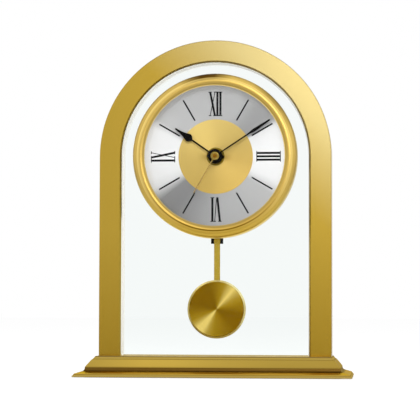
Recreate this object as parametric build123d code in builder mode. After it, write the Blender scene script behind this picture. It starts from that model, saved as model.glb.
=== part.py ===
from build123d import *
import math
import os

# Desk pendulum clock: a gilt arch on a moulded base holds a glass pane, the dial sits on the front
# of the pane and a battery movement with a swinging pendulum hangs behind it.
# Millimetres. X is to the right seen from the front, Y goes to the back, Z is up.

# Base
BASE_WIDTH = 186.0
BASE_DEPTH = 72.0
PAD_PROUD = 0.4
FOOT_LIP = 0.5
FOOT_RUN = 1.5
FOOT_RISE = 1.8
LEDGE_RUN = 4.0
LEDGE_RISE = 1.3
COVE_RUN = 2.1
COVE_RISE = 2.8
COVE_HOLLOW = 0.55
FACE_RUN = 4.2
FACE_RISE = 5.2
FACE_SWELL = 0.05
QUIRK = 0.4
SHOULDER_RUN = 1.6
SHOULDER_RISE = 2.0
BASE_ROOF = 3.2
BASE_RIM = 6.0
COVER_LIP = 4.0
COVER_THICK = 1.6
PAD_THICK = 1.0
PAD_CORNER = 4.0
COVER_SCREW_INSET_X = 24.0
COVER_SCREW_INSET_Y = 6.0
COVER_SCREW_RADIUS = 1.5
COVER_SCREW_HEAD = 2.8
COVER_SCREW_REACH = 0.8
COVER_BOSS_RADIUS = 4.0

# Arch and pane
ARCH_RADIUS = 79.0
ARCH_BAND = 15.2
ARCH_DEPTH = 20.0
ARCH_TOP = 228.5
ARCH_INNER_BEVEL = 1.3
ARCH_OUTER_BEVEL = 0.5
PANE_THICK = 4.0
PANE_BITE = 4.0
PANE_SLOT_DEPTH = 1.8
GASKET_WALL = 0.5
GASKET_LIP = 3.95
FRAME_SCREW_RADIUS = 2.0
FRAME_SCREW_HEAD = 3.6
FRAME_SCREW_HEAD_TALL = 2.4
FRAME_SCREW_BITE = 9.0
FRAME_SCREW_SPACING = 10.0

# Dial head
BEZEL_RADIUS = 56.0
BEZEL_STEP_RADIUS = 53.0
BEZEL_BAND_RADIUS = 48.2
BEZEL_LIP_RADIUS = 47.6
BEZEL_CROWN = 2.0
BEZEL_STEP_DROP = 0.9
BEZEL_SHOULDER = 3.4
BEZEL_RIM_SWELL = 0.34
PAN_RADIUS = 52.5
PAN_WALL = 1.2
PAN_FLOOR = 1.0
DIAL_THICK = 0.6
DISC_RADIUS = 25.5
DISC_THICK = 0.3
LENS_THICK = 1.5
LENS_GAP = 1.2
WASHER_RADIUS = 6.2
WASHER_THICK = 0.4
NUT_RADIUS = 4.9
NUT_THICK = 2.0
NUT_LUG_REACH = 6.3
NUT_LUG_ROOT = 1.5
NUT_LUG_ANGLE = 94.7
BUSH_RADIUS = 4.0
BUSH_PROUD = 0.5
BUSH_BORE = 2.6
PANE_HOLE_RADIUS = 5.0

# Hands, angles clockwise from twelve
HOUR_ANGLE = 304.8
MINUTE_ANGLE = 56.6
SECOND_ANGLE = 210.0
HAND_BOSS = 0.9
HAND_BLADE = 0.4
HAND_GAP = 0.3
HOUR_BOSS_RADIUS = 4.4
HOUR_LENGTH = 33.3
HOUR_STEM = 1.0
HOUR_SPADE_START = 19.6
HOUR_SPADE_AT = 22.5
HOUR_SPADE_WIDTH = 5.4
HOUR_TIP_WIDTH = 1.0
# How far along and across its ends each curve of a hand passes, as shares
SPADE_SWELL = 0.7
SPADE_RISE = 0.35
SPADE_HOLLOW = 0.3
SPADE_FALL = 0.45
LEAF_HOLLOW = 0.3
MINUTE_BOSS_RADIUS = 4.75
MINUTE_LENGTH = 44.6
MINUTE_STEM = 0.8
MINUTE_LEAF_START = 25.5
MINUTE_LEAF_AT = 31.4
MINUTE_LEAF_WIDTH = 2.1
MINUTE_TIP_WIDTH = 0.9
SECOND_LENGTH = 29.0
SECOND_WIDTH = 0.6
CAP_RADIUS = 3.0
CAP_TALL = 1.2
CAP_ROUND = 0.5

# Movement
RUBBER_THICK = 0.5
RUBBER_RADIUS = 9.0
CASE_SIDE = 56.0
CASE_DEPTH = 16.0
CASE_WALL = 1.2
CASE_CORNER = 3.0
HANGER_BOX_WIDTH = 26.0
HANGER_BOX_TALL = 19.0
HANGER_BOX_DEPTH = 11.5
ARBOR_RADIUS = 0.5
PIVOT_SINK = 0.7
BOSS_RADIUS = 1.6
RUN_CLEARANCE = 0.06
FIT_CLEARANCE = 0.03
SEAT_CLEARANCE = 0.1
LAYER_GAP = 0.3
BATTERY_RADIUS = 7.25
BATTERY_LENGTH = 49.5
BATTERY_NUB_RADIUS = 2.6
BATTERY_NUB = 1.0
BATTERY_DROP = 19.0
BAY_CLEARANCE = 0.4
CONTACT_THICK = 0.4
CONTACT_WIDTH = 9.0
CONTACT_HALF = 5.0
KNOB_RADIUS = 6.0
KNOB_TALL = 3.5
KNOB_GROOVES = 16
KNOB_GROOVE_RADIUS = 0.6
KNOB_SHAFT_RADIUS = 1.0
STATOR_THICK = 1.0
STATOR_ARM = 2.8
STATOR_WEB = 1.0
ROTOR_MAGNET_RADIUS = 2.8
ROTOR_MAGNET_TALL = 2.0
STATOR_HOLE_RADIUS = 3.3
COIL_LENGTH = 13.6
COIL_TALL = 7.6
COIL_THICK = 4.4
CORE_TALL = 4.0
BOARD_WIDTH = 18.0
BOARD_TALL = 10.0
BOARD_THICK = 0.8
BOARD_MARGIN = 2.0
CRYSTAL_RADIUS = 1.0
CRYSTAL_LENGTH = 6.0

# Wheel train: module and tooth counts of each meshing pair
MOTION_MODULE = 0.32
CANNON_TEETH = 15
MINUTE_WHEEL_TEETH = 45
MINUTE_PINION_TEETH = 12
HOUR_WHEEL_TEETH = 48
KNOB_TEETH = 15
THIRD_WHEEL_MODULE = 0.27
SECOND_PINION_TEETH = 8
THIRD_WHEEL_TEETH = 60
THIRD_PINION_TEETH = 8
CENTRE_WHEEL_TEETH = 64
SECOND_WHEEL_MODULE = 0.27
INTERMEDIATE_PINION_TEETH = 10
SECOND_WHEEL_TEETH = 60
ROTOR_MODULE = 0.26
ROTOR_PINION_TEETH = 10
INTERMEDIATE_WHEEL_TEETH = 50
WHEEL_THICK = 0.8
MOTION_WHEEL_THICK = 1.0
PINION_EXTRA = 0.1
LAYER_STEP = 0.7
TUBE_WALL = 0.9
COLLAR_RADIUS = 0.8
TOOTH_TIP = 0.85
TOOTH_ROOT = 1.2
# Share of a tooth's pitch on each side of its middle, at the tip and at the root
WHEEL_TIP_SHARE = 0.12
WHEEL_ROOT_SHARE = 0.27
PINION_TIP_SHARE = 0.10
PINION_ROOT_SHARE = 0.19
# Where each arbor stands, as an angle from the right, counted upwards
MINUTE_WHEEL_ANGLE = 150.0
KNOB_ANGLE = 165.0
THIRD_ANGLE = 75.0
INTERMEDIATE_ANGLE = 0.0
ROTOR_ANGLE = 45.0

# Pendulum
PIVOT_DROP = 34.0
PIVOT_PIN_RADIUS = 0.75
HANGER_WIDTH = 8.2
HANGER_THICK = 2.5
HANGER_FRONT_GAP = 4.3
HANGER_LENGTH = 25.1
FORK_SLOT = 8.7
MAGNET_RADIUS = 3.0
MAGNET_THICK = 0.8
MAGNET_DROP = 8.0
DRIVE_COIL_RADIUS = 5.0
DRIVE_COIL_CORE = 1.5
DRIVE_COIL_GAP = 0.5
ROD_WIDTH = 4.1
ROD_THICK = 1.0
ROD_PIN_RISE = 5.3
ROD_PIN_RADIUS = 0.55
ROD_EYE_RADIUS = 1.2
ROD_TAIL = 6.0
BOB_DROP = 104.0
BOB_RADIUS = 20.0
BOB_THICK = 3.6
BOB_BEVEL = 1.5
BOB_BEVEL_DROP = 0.8
RIVET_RADIUS = 1.0
RIVET_HEAD = 2.2
RIVET_HEAD_TALL = 0.8

# Heights and radii that follow from the sizes above
RIM_Z = PAD_PROUD
LIP_TOP = RIM_Z + FOOT_LIP
FOOT_TOP = LIP_TOP + FOOT_RISE
LEDGE_TOP = FOOT_TOP + LEDGE_RISE
COVE_TOP = LEDGE_TOP + COVE_RISE
FACE_TOP = COVE_TOP + FACE_RISE
BASE_TOP = FACE_TOP + SHOULDER_RISE
COVER_TOP = PAD_THICK + COVER_THICK
ROOF_UNDER = BASE_TOP - BASE_ROOF
ARCH_Z = ARCH_TOP - ARCH_RADIUS
ARCH_INNER = ARCH_RADIUS - ARCH_BAND
POST_X = ARCH_RADIUS - ARCH_BAND / 2
PANE_RADIUS = ARCH_INNER + PANE_BITE
PANE_FOOT = BASE_TOP - PANE_SLOT_DEPTH
GROOVE_RADIUS = PANE_RADIUS + GASKET_WALL + SEAT_CLEARANCE
GROOVE_WIDTH = PANE_THICK + 2 * GASKET_WALL + 2 * SEAT_CLEARANCE
HEAD_Z = ARCH_Z

# Depths of the stack on the front of the pane, each given at its back face
PANE_FRONT = -PANE_THICK / 2
PANE_BACK = PANE_THICK / 2
DIAL_BACK = PANE_FRONT - PAN_FLOOR
DISC_BACK = DIAL_BACK - DIAL_THICK
WASHER_BACK = DISC_BACK - DISC_THICK
NUT_BACK = WASHER_BACK - WASHER_THICK
BUSH_END = NUT_BACK - NUT_THICK - BUSH_PROUD
HOUR_BACK = BUSH_END - HAND_GAP
MINUTE_BACK = HOUR_BACK - HAND_BOSS - HAND_GAP
SECOND_BACK = MINUTE_BACK - HAND_BOSS - HAND_GAP
LENS_BACK = SECOND_BACK - CAP_TALL - LENS_GAP
LENS_FRONT = LENS_BACK - LENS_THICK
BEZEL_SEAT = LENS_FRONT - FIT_CLEARANCE
BEZEL_FRONT = BEZEL_SEAT - BEZEL_CROWN
BEZEL_BACK = PANE_FRONT - SEAT_CLEARANCE
BEZEL_BORE = PAN_RADIUS + SEAT_CLEARANCE
DIAL_RADIUS = PAN_RADIUS - PAN_WALL - SEAT_CLEARANCE
LENS_RADIUS = PAN_RADIUS

# Depths of the movement behind the pane, front faces first
CASE_FRONT = PANE_BACK + RUBBER_THICK
PLATE_BACK = CASE_FRONT + CASE_WALL
CASE_BACK = CASE_FRONT + CASE_DEPTH
CASE_FLOOR = CASE_BACK - CASE_WALL
ARBOR_FRONT = PLATE_BACK - PIVOT_SINK
ARBOR_BACK = CASE_FLOOR + PIVOT_SINK
HOUR_LAYER = PLATE_BACK + LAYER_GAP
MINUTE_LAYER = HOUR_LAYER + MOTION_WHEEL_THICK + LAYER_STEP / 2
CENTRE_LAYER = MINUTE_LAYER + MOTION_WHEEL_THICK + LAYER_STEP
THIRD_LAYER = CENTRE_LAYER + WHEEL_THICK + LAYER_STEP
SECOND_LAYER = THIRD_LAYER + WHEEL_THICK + LAYER_STEP
INTERMEDIATE_LAYER = SECOND_LAYER + WHEEL_THICK + LAYER_STEP
ROTOR_LAYER = INTERMEDIATE_LAYER + WHEEL_THICK + LAYER_STEP
STATOR_FRONT = ROTOR_LAYER + (ROTOR_MAGNET_TALL - STATOR_THICK) / 2
STATOR_BACK = STATOR_FRONT + STATOR_THICK
CORE_BACK = STATOR_BACK + STATOR_THICK
HOUR_PIPE = BUSH_BORE - SEAT_CLEARANCE
HOUR_PIPE_BORE = HOUR_PIPE - TUBE_WALL
MINUTE_TUBE = HOUR_PIPE_BORE - SEAT_CLEARANCE
MINUTE_TUBE_BORE = MINUTE_TUBE - TUBE_WALL
SECOND_ARBOR = MINUTE_TUBE_BORE - SEAT_CLEARANCE
CASE_BOTTOM = HEAD_Z - CASE_SIDE / 2
BOX_BACK = CASE_FRONT + HANGER_BOX_DEPTH
BATTERY_Z = HEAD_Z - BATTERY_DROP
BATTERY_Y = PLATE_BACK + BAY_CLEARANCE + BATTERY_RADIUS
CASE_INSIDE = CASE_SIDE / 2 - CASE_WALL
BAY_HALF = BATTERY_RADIUS + BAY_CLEARANCE

# Pendulum depths and heights
PIVOT_Z = HEAD_Z - PIVOT_DROP
HANGER_TIP = PIVOT_Z - HANGER_LENGTH
ROD_PIN_Z = HANGER_TIP + ROD_PIN_RISE
BOB_Z = HEAD_Z - BOB_DROP
HANGER_FRONT = PLATE_BACK + HANGER_FRONT_GAP
HANGER_BACK = HANGER_FRONT + HANGER_THICK
ROD_Y = (HANGER_FRONT + HANGER_BACK) / 2
ROD_BACK = ROD_Y + ROD_THICK / 2
BOB_BACK = ROD_Y - ROD_THICK / 2
MAGNET_Z = PIVOT_Z - MAGNET_DROP
ROD_SLOT = ROD_WIDTH + 2 * SEAT_CLEARANCE


def at_depth(y, x=0.0, z=0.0):
    """A plane facing the front; an extrusion from it grows towards the front."""
    return Plane(origin=(x, y, z), x_dir=(1, 0, 0), z_dir=(0, -1, 0))


def turned_at(y, angle):
    """A front plane on the dial's centre whose upward direction is turned clockwise by an angle."""
    lean = math.radians(angle)
    right = (math.cos(lean), 0, -math.sin(lean))
    return Plane(origin=(0, y, HEAD_Z), x_dir=right, z_dir=(0, -1, 0))


def lathe_plane(x=0.0, z=0.0):
    """A plane through a front-to-back axis, with radius across and depth up."""
    return Plane(origin=(x, 0, z), x_dir=(1, 0, 0), z_dir=(0, 0, 1))


def lathe_axis(x=0.0, z=0.0):
    return Axis((x, 0, z), (0, 1, 0))


def arch_shape(radius, foot):
    """An upright with a half-round top on the arch's centre."""
    with BuildSketch() as shape:
        with BuildLine():
            Polyline((-radius, ARCH_Z), (-radius, foot), (radius, foot), (radius, ARCH_Z))
            ThreePointArc((radius, ARCH_Z), (0, ARCH_Z + radius), (-radius, ARCH_Z))
        make_face()
    return shape.sketch


def base_section(width):
    """Half of the moulding: bevelled foot, ledge, hollow cove, broad sloping face and shoulder."""
    half = width / 2
    foot = half - FOOT_RUN
    ledge = foot - LEDGE_RUN
    cove = ledge - COVE_RUN
    face = cove - FACE_RUN
    quirk = face - QUIRK
    crown = quirk - SHOULDER_RUN
    cove_mid = ((ledge + cove) / 2 - COVE_HOLLOW, (LEDGE_TOP + COVE_TOP) / 2 - COVE_HOLLOW)
    face_mid = ((cove + face) / 2 + FACE_SWELL, (COVE_TOP + FACE_TOP) / 2 + FACE_SWELL)
    with BuildSketch() as section:
        with BuildLine():
            Polyline((0, BASE_TOP), (0, RIM_Z), (half, RIM_Z), (half, LIP_TOP), (foot, FOOT_TOP),
                     (ledge, LEDGE_TOP))
            ThreePointArc((ledge, LEDGE_TOP), cove_mid, (cove, COVE_TOP))
            ThreePointArc((cove, COVE_TOP), face_mid, (face, FACE_TOP))
            Polyline((face, FACE_TOP), (quirk, FACE_TOP), (crown, BASE_TOP), (0, BASE_TOP))
        make_face()
        mirror(about=Plane.YZ)
    return section.sketch


def toothed(teeth, module, turn, tip_share, root_share):
    """A toothed disc with straight flanks; turn is where its first tooth points."""
    pitch = 2 * math.pi / teeth
    tip = module * (teeth / 2 + TOOTH_TIP)
    root = module * (teeth / 2 - TOOTH_ROOT)
    corners = ((root, -root_share), (tip, -tip_share), (tip, tip_share), (root, root_share))
    points = []
    for tooth in range(teeth):
        for radius, share in corners:
            angle = turn + (tooth + share) * pitch
            points.append((radius * math.cos(angle), radius * math.sin(angle)))
    with BuildSketch() as disc:
        with BuildLine():
            Polyline(*points, close=True)
        make_face()
    return disc.sketch


def wheel(teeth, module, turn):
    return toothed(teeth, module, turn, WHEEL_TIP_SHARE, WHEEL_ROOT_SHARE)


def pinion(teeth, module, turn):
    return toothed(teeth, module, turn, PINION_TIP_SHARE, PINION_ROOT_SHARE)


def beside(origin, angle, distance):
    lean = math.radians(angle)
    return (origin[0] + distance * math.cos(lean), origin[1] + distance * math.sin(lean))


def facing_space(angle, teeth):
    """Where a wheel's first tooth points so that a space faces a tooth that comes from an angle."""
    return math.radians(angle) + math.pi + math.pi / teeth


def meshed(angle, driver_turn, driver_teeth, teeth):
    """The same where the driver's teeth stand anywhere along that angle."""
    lead = (math.radians(angle) - driver_turn) * driver_teeth / teeth
    return facing_space(angle, teeth) + lead


# Arbor places in the movement, x and z from the dial's centre
CENTRE_SPOT = (0.0, 0.0)
MOTION_REACH = MOTION_MODULE * (CANNON_TEETH + MINUTE_WHEEL_TEETH) / 2
HOUR_MODULE = 2 * MOTION_REACH / (MINUTE_PINION_TEETH + HOUR_WHEEL_TEETH)
KNOB_REACH = MOTION_MODULE * (KNOB_TEETH + MINUTE_WHEEL_TEETH) / 2
THIRD_REACH = THIRD_WHEEL_MODULE * (SECOND_PINION_TEETH + THIRD_WHEEL_TEETH) / 2
CENTRE_MODULE = 2 * THIRD_REACH / (THIRD_PINION_TEETH + CENTRE_WHEEL_TEETH)
INTERMEDIATE_REACH = SECOND_WHEEL_MODULE * (INTERMEDIATE_PINION_TEETH + SECOND_WHEEL_TEETH) / 2
ROTOR_REACH = ROTOR_MODULE * (ROTOR_PINION_TEETH + INTERMEDIATE_WHEEL_TEETH) / 2
MINUTE_SPOT = beside(CENTRE_SPOT, MINUTE_WHEEL_ANGLE, MOTION_REACH)
KNOB_SPOT = beside(MINUTE_SPOT, KNOB_ANGLE, KNOB_REACH)
THIRD_SPOT = beside(CENTRE_SPOT, THIRD_ANGLE, THIRD_REACH)
INTERMEDIATE_SPOT = beside(CENTRE_SPOT, INTERMEDIATE_ANGLE, INTERMEDIATE_REACH)
ROTOR_SPOT = beside(INTERMEDIATE_SPOT, ROTOR_ANGLE, ROTOR_REACH)
MINUTE_WHEEL_TURN = facing_space(MINUTE_WHEEL_ANGLE, MINUTE_WHEEL_TEETH)
ARBOR_SPOTS = (MINUTE_SPOT, THIRD_SPOT, INTERMEDIATE_SPOT, ROTOR_SPOT)

# The motor's stator, core and coil lie in the upper right of the case, seen from the front
STATOR_LEFT = THIRD_SPOT[0] + ARBOR_RADIUS + STATOR_WEB
STATOR_RIGHT = STATOR_LEFT + COIL_LENGTH + 2 * STATOR_ARM + 4 * SEAT_CLEARANCE
STATOR_BOTTOM = ROTOR_SPOT[1] - STATOR_HOLE_RADIUS - STATOR_WEB
STATOR_YOKE = ROTOR_SPOT[1] + STATOR_HOLE_RADIUS + STATOR_WEB
STATOR_TOP = CASE_INSIDE - COIL_TALL / 2 + CORE_TALL / 2 - STATOR_WEB
CORE_Z = STATOR_TOP - CORE_TALL / 2
COIL_X = (STATOR_LEFT + STATOR_RIGHT) / 2
COIL_Y = STATOR_BACK + STATOR_THICK / 2
STATOR_POSTS = (STATOR_LEFT + STATOR_ARM / 2, STATOR_RIGHT - STATOR_ARM / 2)

# The circuit board lies in the upper left
BOARD_X = -CASE_INSIDE + BOARD_MARGIN + BOARD_WIDTH / 2
BOARD_Z = CASE_INSIDE - BOARD_MARGIN - BOARD_TALL / 2
BOARD_BACK = STATOR_BACK
BOARD_POSTS = (BOARD_X - BOARD_WIDTH / 4, BOARD_X + BOARD_WIDTH / 4)

os.makedirs("parts", exist_ok=True)


def save(piece, label):
    piece.label = label
    export_step(piece, f"parts/{label}.step")


# Base: a hollow moulded plinth, its underside closed by a cover and a soft pad
RECESS_WIDTH = BASE_WIDTH - 2 * BASE_RIM
RECESS_DEPTH = BASE_DEPTH - 2 * BASE_RIM
CAVITY_WIDTH = RECESS_WIDTH - 2 * LEDGE_RUN - 2 * COVER_LIP
CAVITY_DEPTH = RECESS_DEPTH - 2 * LEDGE_RUN - 2 * COVER_LIP
COVER_WIDTH = RECESS_WIDTH - 2 * SEAT_CLEARANCE
COVER_DEPTH = RECESS_DEPTH - 2 * SEAT_CLEARANCE
COVER_SPAN_X = CAVITY_WIDTH - 2 * COVER_SCREW_INSET_X
COVER_SPAN_Y = CAVITY_DEPTH - 2 * COVER_SCREW_INSET_Y

with BuildPart() as base_plinth:
    with BuildSketch(Plane.XZ):
        add(base_section(BASE_WIDTH))
    extrude(amount=BASE_DEPTH / 2, both=True)
    with BuildSketch(Plane.YZ):
        add(base_section(BASE_DEPTH))
    extrude(amount=BASE_WIDTH / 2, both=True, mode=Mode.INTERSECT)
    with BuildSketch(Plane.XY.offset(RIM_Z)):
        Rectangle(RECESS_WIDTH, RECESS_DEPTH)
    extrude(amount=COVER_TOP - RIM_Z, mode=Mode.SUBTRACT)
    with BuildSketch(Plane.XY.offset(COVER_TOP)):
        Rectangle(CAVITY_WIDTH, CAVITY_DEPTH)
        with GridLocations(2 * POST_X, FRAME_SCREW_SPACING, 2, 2):
            Circle(FRAME_SCREW_HEAD + SEAT_CLEARANCE)
    extrude(amount=ROOF_UNDER - COVER_TOP, mode=Mode.SUBTRACT)
    with BuildSketch(Plane.XY.offset(COVER_TOP)):
        with GridLocations(COVER_SPAN_X, COVER_SPAN_Y, 2, 2):
            Circle(COVER_BOSS_RADIUS)
            Circle(COVER_SCREW_RADIUS + FIT_CLEARANCE, mode=Mode.SUBTRACT)
    extrude(amount=ROOF_UNDER - COVER_TOP)
    with BuildSketch(Plane.XY.offset(ROOF_UNDER)):
        with GridLocations(2 * POST_X, FRAME_SCREW_SPACING, 2, 2):
            Circle(FRAME_SCREW_RADIUS + SEAT_CLEARANCE)
    extrude(amount=BASE_ROOF, mode=Mode.SUBTRACT)
    with BuildSketch(Plane.XY.offset(BASE_TOP)):
        Rectangle(2 * PANE_RADIUS + 2 * SEAT_CLEARANCE, PANE_THICK + 2 * SEAT_CLEARANCE)
    extrude(amount=-PANE_SLOT_DEPTH, mode=Mode.SUBTRACT)
save(base_plinth.part, "base_plinth")

with BuildPart() as base_cover:
    with BuildSketch(Plane.XY.offset(PAD_THICK)):
        Rectangle(COVER_WIDTH, COVER_DEPTH)
    extrude(amount=COVER_THICK)
    with Locations(Plane.XY.offset(PAD_THICK)):
        with GridLocations(COVER_SPAN_X, COVER_SPAN_Y, 2, 2):
            Cone(COVER_SCREW_HEAD + SEAT_CLEARANCE, COVER_SCREW_RADIUS + SEAT_CLEARANCE, COVER_THICK,
                 align=(Align.CENTER, Align.CENTER, Align.MIN), mode=Mode.SUBTRACT)
save(base_cover.part, "base_cover")

with BuildPart() as base_cover_screws:
    with Locations(Plane.XY.offset(PAD_THICK)):
        with GridLocations(COVER_SPAN_X, COVER_SPAN_Y, 2, 2):
            Cone(COVER_SCREW_HEAD, COVER_SCREW_RADIUS, COVER_THICK,
                 align=(Align.CENTER, Align.CENTER, Align.MIN))
    with Locations(Plane.XY.offset(COVER_TOP)):
        with GridLocations(COVER_SPAN_X, COVER_SPAN_Y, 2, 2):
            Cylinder(COVER_SCREW_RADIUS, (ROOF_UNDER - COVER_TOP) * COVER_SCREW_REACH,
                     align=(Align.CENTER, Align.CENTER, Align.MIN))
save(base_cover_screws.part, "base_cover_screws")

with BuildPart() as base_pad:
    with BuildSketch():
        RectangleRounded(COVER_WIDTH - 2 * SEAT_CLEARANCE, COVER_DEPTH - 2 * SEAT_CLEARANCE, PAD_CORNER)
    extrude(amount=PAD_THICK)
save(base_pad.part, "base_pad")

# Arch: one bent band, grooved inside for the pane and held from below by two screws in each foot
with BuildPart() as arch_frame:
    with BuildSketch(Plane.XZ):
        add(arch_shape(ARCH_RADIUS, BASE_TOP))
        add(arch_shape(ARCH_INNER, BASE_TOP), mode=Mode.SUBTRACT)
    extrude(amount=ARCH_DEPTH / 2, both=True)
    uprights = arch_frame.edges().filter_by(Axis.Z) + arch_frame.edges().filter_by(GeomType.CIRCLE)
    inner_edges = uprights.filter_by(lambda edge: abs(edge.position_at(0).X) < POST_X)
    outer_edges = uprights.filter_by(lambda edge: abs(edge.position_at(0).X) > POST_X)
    chamfer(inner_edges, ARCH_INNER_BEVEL)
    chamfer(outer_edges, ARCH_OUTER_BEVEL)
    with BuildSketch(at_depth(GROOVE_WIDTH / 2)):
        add(arch_shape(GROOVE_RADIUS, BASE_TOP))
    extrude(amount=GROOVE_WIDTH, mode=Mode.SUBTRACT)
    with BuildSketch(Plane.XY.offset(BASE_TOP)):
        with GridLocations(2 * POST_X, FRAME_SCREW_SPACING, 2, 2):
            Circle(FRAME_SCREW_RADIUS + FIT_CLEARANCE)
    extrude(amount=FRAME_SCREW_BITE + SEAT_CLEARANCE, mode=Mode.SUBTRACT)
save(arch_frame.part, "arch_frame")

with BuildPart() as frame_screws:
    with BuildSketch(Plane.XY.offset(ROOF_UNDER)):
        with GridLocations(2 * POST_X, FRAME_SCREW_SPACING, 2, 2):
            Circle(FRAME_SCREW_RADIUS)
    extrude(amount=BASE_ROOF + FRAME_SCREW_BITE)
    with BuildSketch(Plane.XY.offset(ROOF_UNDER)):
        with GridLocations(2 * POST_X, FRAME_SCREW_SPACING, 2, 2):
            Circle(FRAME_SCREW_HEAD)
    extrude(amount=-FRAME_SCREW_HEAD_TALL)
save(frame_screws.part, "frame_screws")

with BuildPart() as glass_pane:
    with BuildSketch(at_depth(PANE_BACK)):
        add(arch_shape(PANE_RADIUS, PANE_FOOT))
        with Locations((0, HEAD_Z)):
            Circle(PANE_HOLE_RADIUS, mode=Mode.SUBTRACT)
    extrude(amount=PANE_THICK)
save(glass_pane.part, "glass_pane")

with BuildPart() as glazing_gasket:
    with BuildSketch(at_depth(PANE_BACK + GASKET_WALL)):
        add(arch_shape(PANE_RADIUS + GASKET_WALL, BASE_TOP))
        add(arch_shape(PANE_RADIUS - GASKET_LIP, BASE_TOP), mode=Mode.SUBTRACT)
    extrude(amount=PANE_THICK + 2 * GASKET_WALL)
    with BuildSketch(at_depth(PANE_BACK)):
        add(arch_shape(PANE_RADIUS, BASE_TOP))
    extrude(amount=PANE_THICK, mode=Mode.SUBTRACT)
save(glazing_gasket.part, "glazing_gasket")

# Dial head on the front of the pane
with BuildPart() as dial_pan:
    with BuildSketch(lathe_plane(z=HEAD_Z)):
        with BuildLine():
            Polyline((BUSH_RADIUS + SEAT_CLEARANCE, PANE_FRONT), (PAN_RADIUS, PANE_FRONT),
                     (PAN_RADIUS, LENS_BACK), (PAN_RADIUS - PAN_WALL, LENS_BACK),
                     (PAN_RADIUS - PAN_WALL, DIAL_BACK), (BUSH_RADIUS + SEAT_CLEARANCE, DIAL_BACK),
                     close=True)
        make_face()
    revolve(axis=lathe_axis(z=HEAD_Z))
save(dial_pan.part, "dial_pan")

with BuildPart() as dial_plate:
    with BuildSketch(at_depth(DIAL_BACK, z=HEAD_Z)):
        Circle(DIAL_RADIUS)
        Circle(BUSH_RADIUS + SEAT_CLEARANCE, mode=Mode.SUBTRACT)
    extrude(amount=DIAL_THICK)
save(dial_plate.part, "dial_plate")

with BuildPart() as dial_centre:
    with BuildSketch(at_depth(DISC_BACK, z=HEAD_Z)):
        Circle(DISC_RADIUS)
        Circle(BUSH_RADIUS + SEAT_CLEARANCE, mode=Mode.SUBTRACT)
    extrude(amount=DISC_THICK)
save(dial_centre.part, "dial_centre")

with BuildPart() as dial_washer:
    with BuildSketch(at_depth(WASHER_BACK, z=HEAD_Z)):
        Circle(WASHER_RADIUS)
        Circle(BUSH_RADIUS + SEAT_CLEARANCE, mode=Mode.SUBTRACT)
    extrude(amount=WASHER_THICK)
save(dial_washer.part, "dial_washer")

with BuildPart() as fixing_nut:
    with BuildSketch(turned_at(NUT_BACK, NUT_LUG_ANGLE)):
        Circle(NUT_RADIUS)
        with BuildLine():
            Polyline((-NUT_LUG_ROOT, 0), (0, -NUT_LUG_REACH), (NUT_LUG_ROOT, 0), (0, NUT_LUG_REACH),
                     close=True)
        make_face()
        Circle(BUSH_RADIUS + FIT_CLEARANCE, mode=Mode.SUBTRACT)
    extrude(amount=NUT_THICK)
save(fixing_nut.part, "fixing_nut")

with BuildPart() as lens:
    with BuildSketch(at_depth(LENS_BACK, z=HEAD_Z)):
        Circle(LENS_RADIUS)
    extrude(amount=LENS_THICK)
save(lens.part, "lens")

with BuildPart() as bezel:
    step_depth = BEZEL_FRONT + BEZEL_STEP_DROP
    shoulder_depth = step_depth + BEZEL_SHOULDER
    rim_width = BEZEL_RADIUS - BEZEL_STEP_RADIUS
    rim_mid = (BEZEL_RADIUS - BEZEL_RIM_SWELL * rim_width, step_depth + BEZEL_RIM_SWELL * BEZEL_SHOULDER)
    band_mid = ((BEZEL_STEP_RADIUS + BEZEL_BAND_RADIUS) / 2, BEZEL_FRONT)
    with BuildSketch(lathe_plane(z=HEAD_Z)):
        with BuildLine():
            Polyline((BEZEL_BORE, BEZEL_SEAT), (BEZEL_BORE, BEZEL_BACK), (BEZEL_RADIUS, BEZEL_BACK),
                     (BEZEL_RADIUS, shoulder_depth))
            ThreePointArc((BEZEL_RADIUS, shoulder_depth), rim_mid, (BEZEL_STEP_RADIUS, step_depth))
            ThreePointArc((BEZEL_STEP_RADIUS, step_depth), band_mid, (BEZEL_BAND_RADIUS, step_depth))
            Polyline((BEZEL_BAND_RADIUS, step_depth), (BEZEL_LIP_RADIUS, step_depth),
                     (BEZEL_LIP_RADIUS, BEZEL_SEAT), (BEZEL_BORE, BEZEL_SEAT))
        make_face()
    revolve(axis=lathe_axis(z=HEAD_Z))
save(bezel.part, "bezel")

# Hands
with BuildPart() as hour_hand:
    with BuildSketch(turned_at(HOUR_BACK, HOUR_ANGLE)):
        with BuildLine():
            spade = (HOUR_SPADE_WIDTH / 2, HOUR_SPADE_AT)
            throat = (HOUR_STEM / 2, HOUR_SPADE_START)
            tip = (HOUR_TIP_WIDTH / 2, HOUR_LENGTH)
            swell = (SPADE_SWELL * spade[0], throat[1] + SPADE_RISE * (spade[1] - throat[1]))
            hollow = (tip[0] + SPADE_HOLLOW * (spade[0] - tip[0]),
                      spade[1] + SPADE_FALL * (tip[1] - spade[1]))
            Polyline((0, 0), (HOUR_STEM / 2, 0), throat)
            ThreePointArc(throat, swell, spade)
            ThreePointArc(spade, hollow, tip)
            Polyline(tip, (0, HOUR_LENGTH), (0, 0))
        make_face()
        mirror(about=Plane.YZ)
    extrude(amount=HAND_BLADE)
    with BuildSketch(at_depth(HOUR_BACK, z=HEAD_Z)):
        Circle(HOUR_BOSS_RADIUS)
    extrude(amount=HAND_BOSS)
    with BuildSketch(at_depth(HOUR_BACK, z=HEAD_Z)):
        Circle(HOUR_PIPE + FIT_CLEARANCE)
    extrude(amount=HAND_BOSS, mode=Mode.SUBTRACT)
save(hour_hand.part, "hour_hand")

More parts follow.
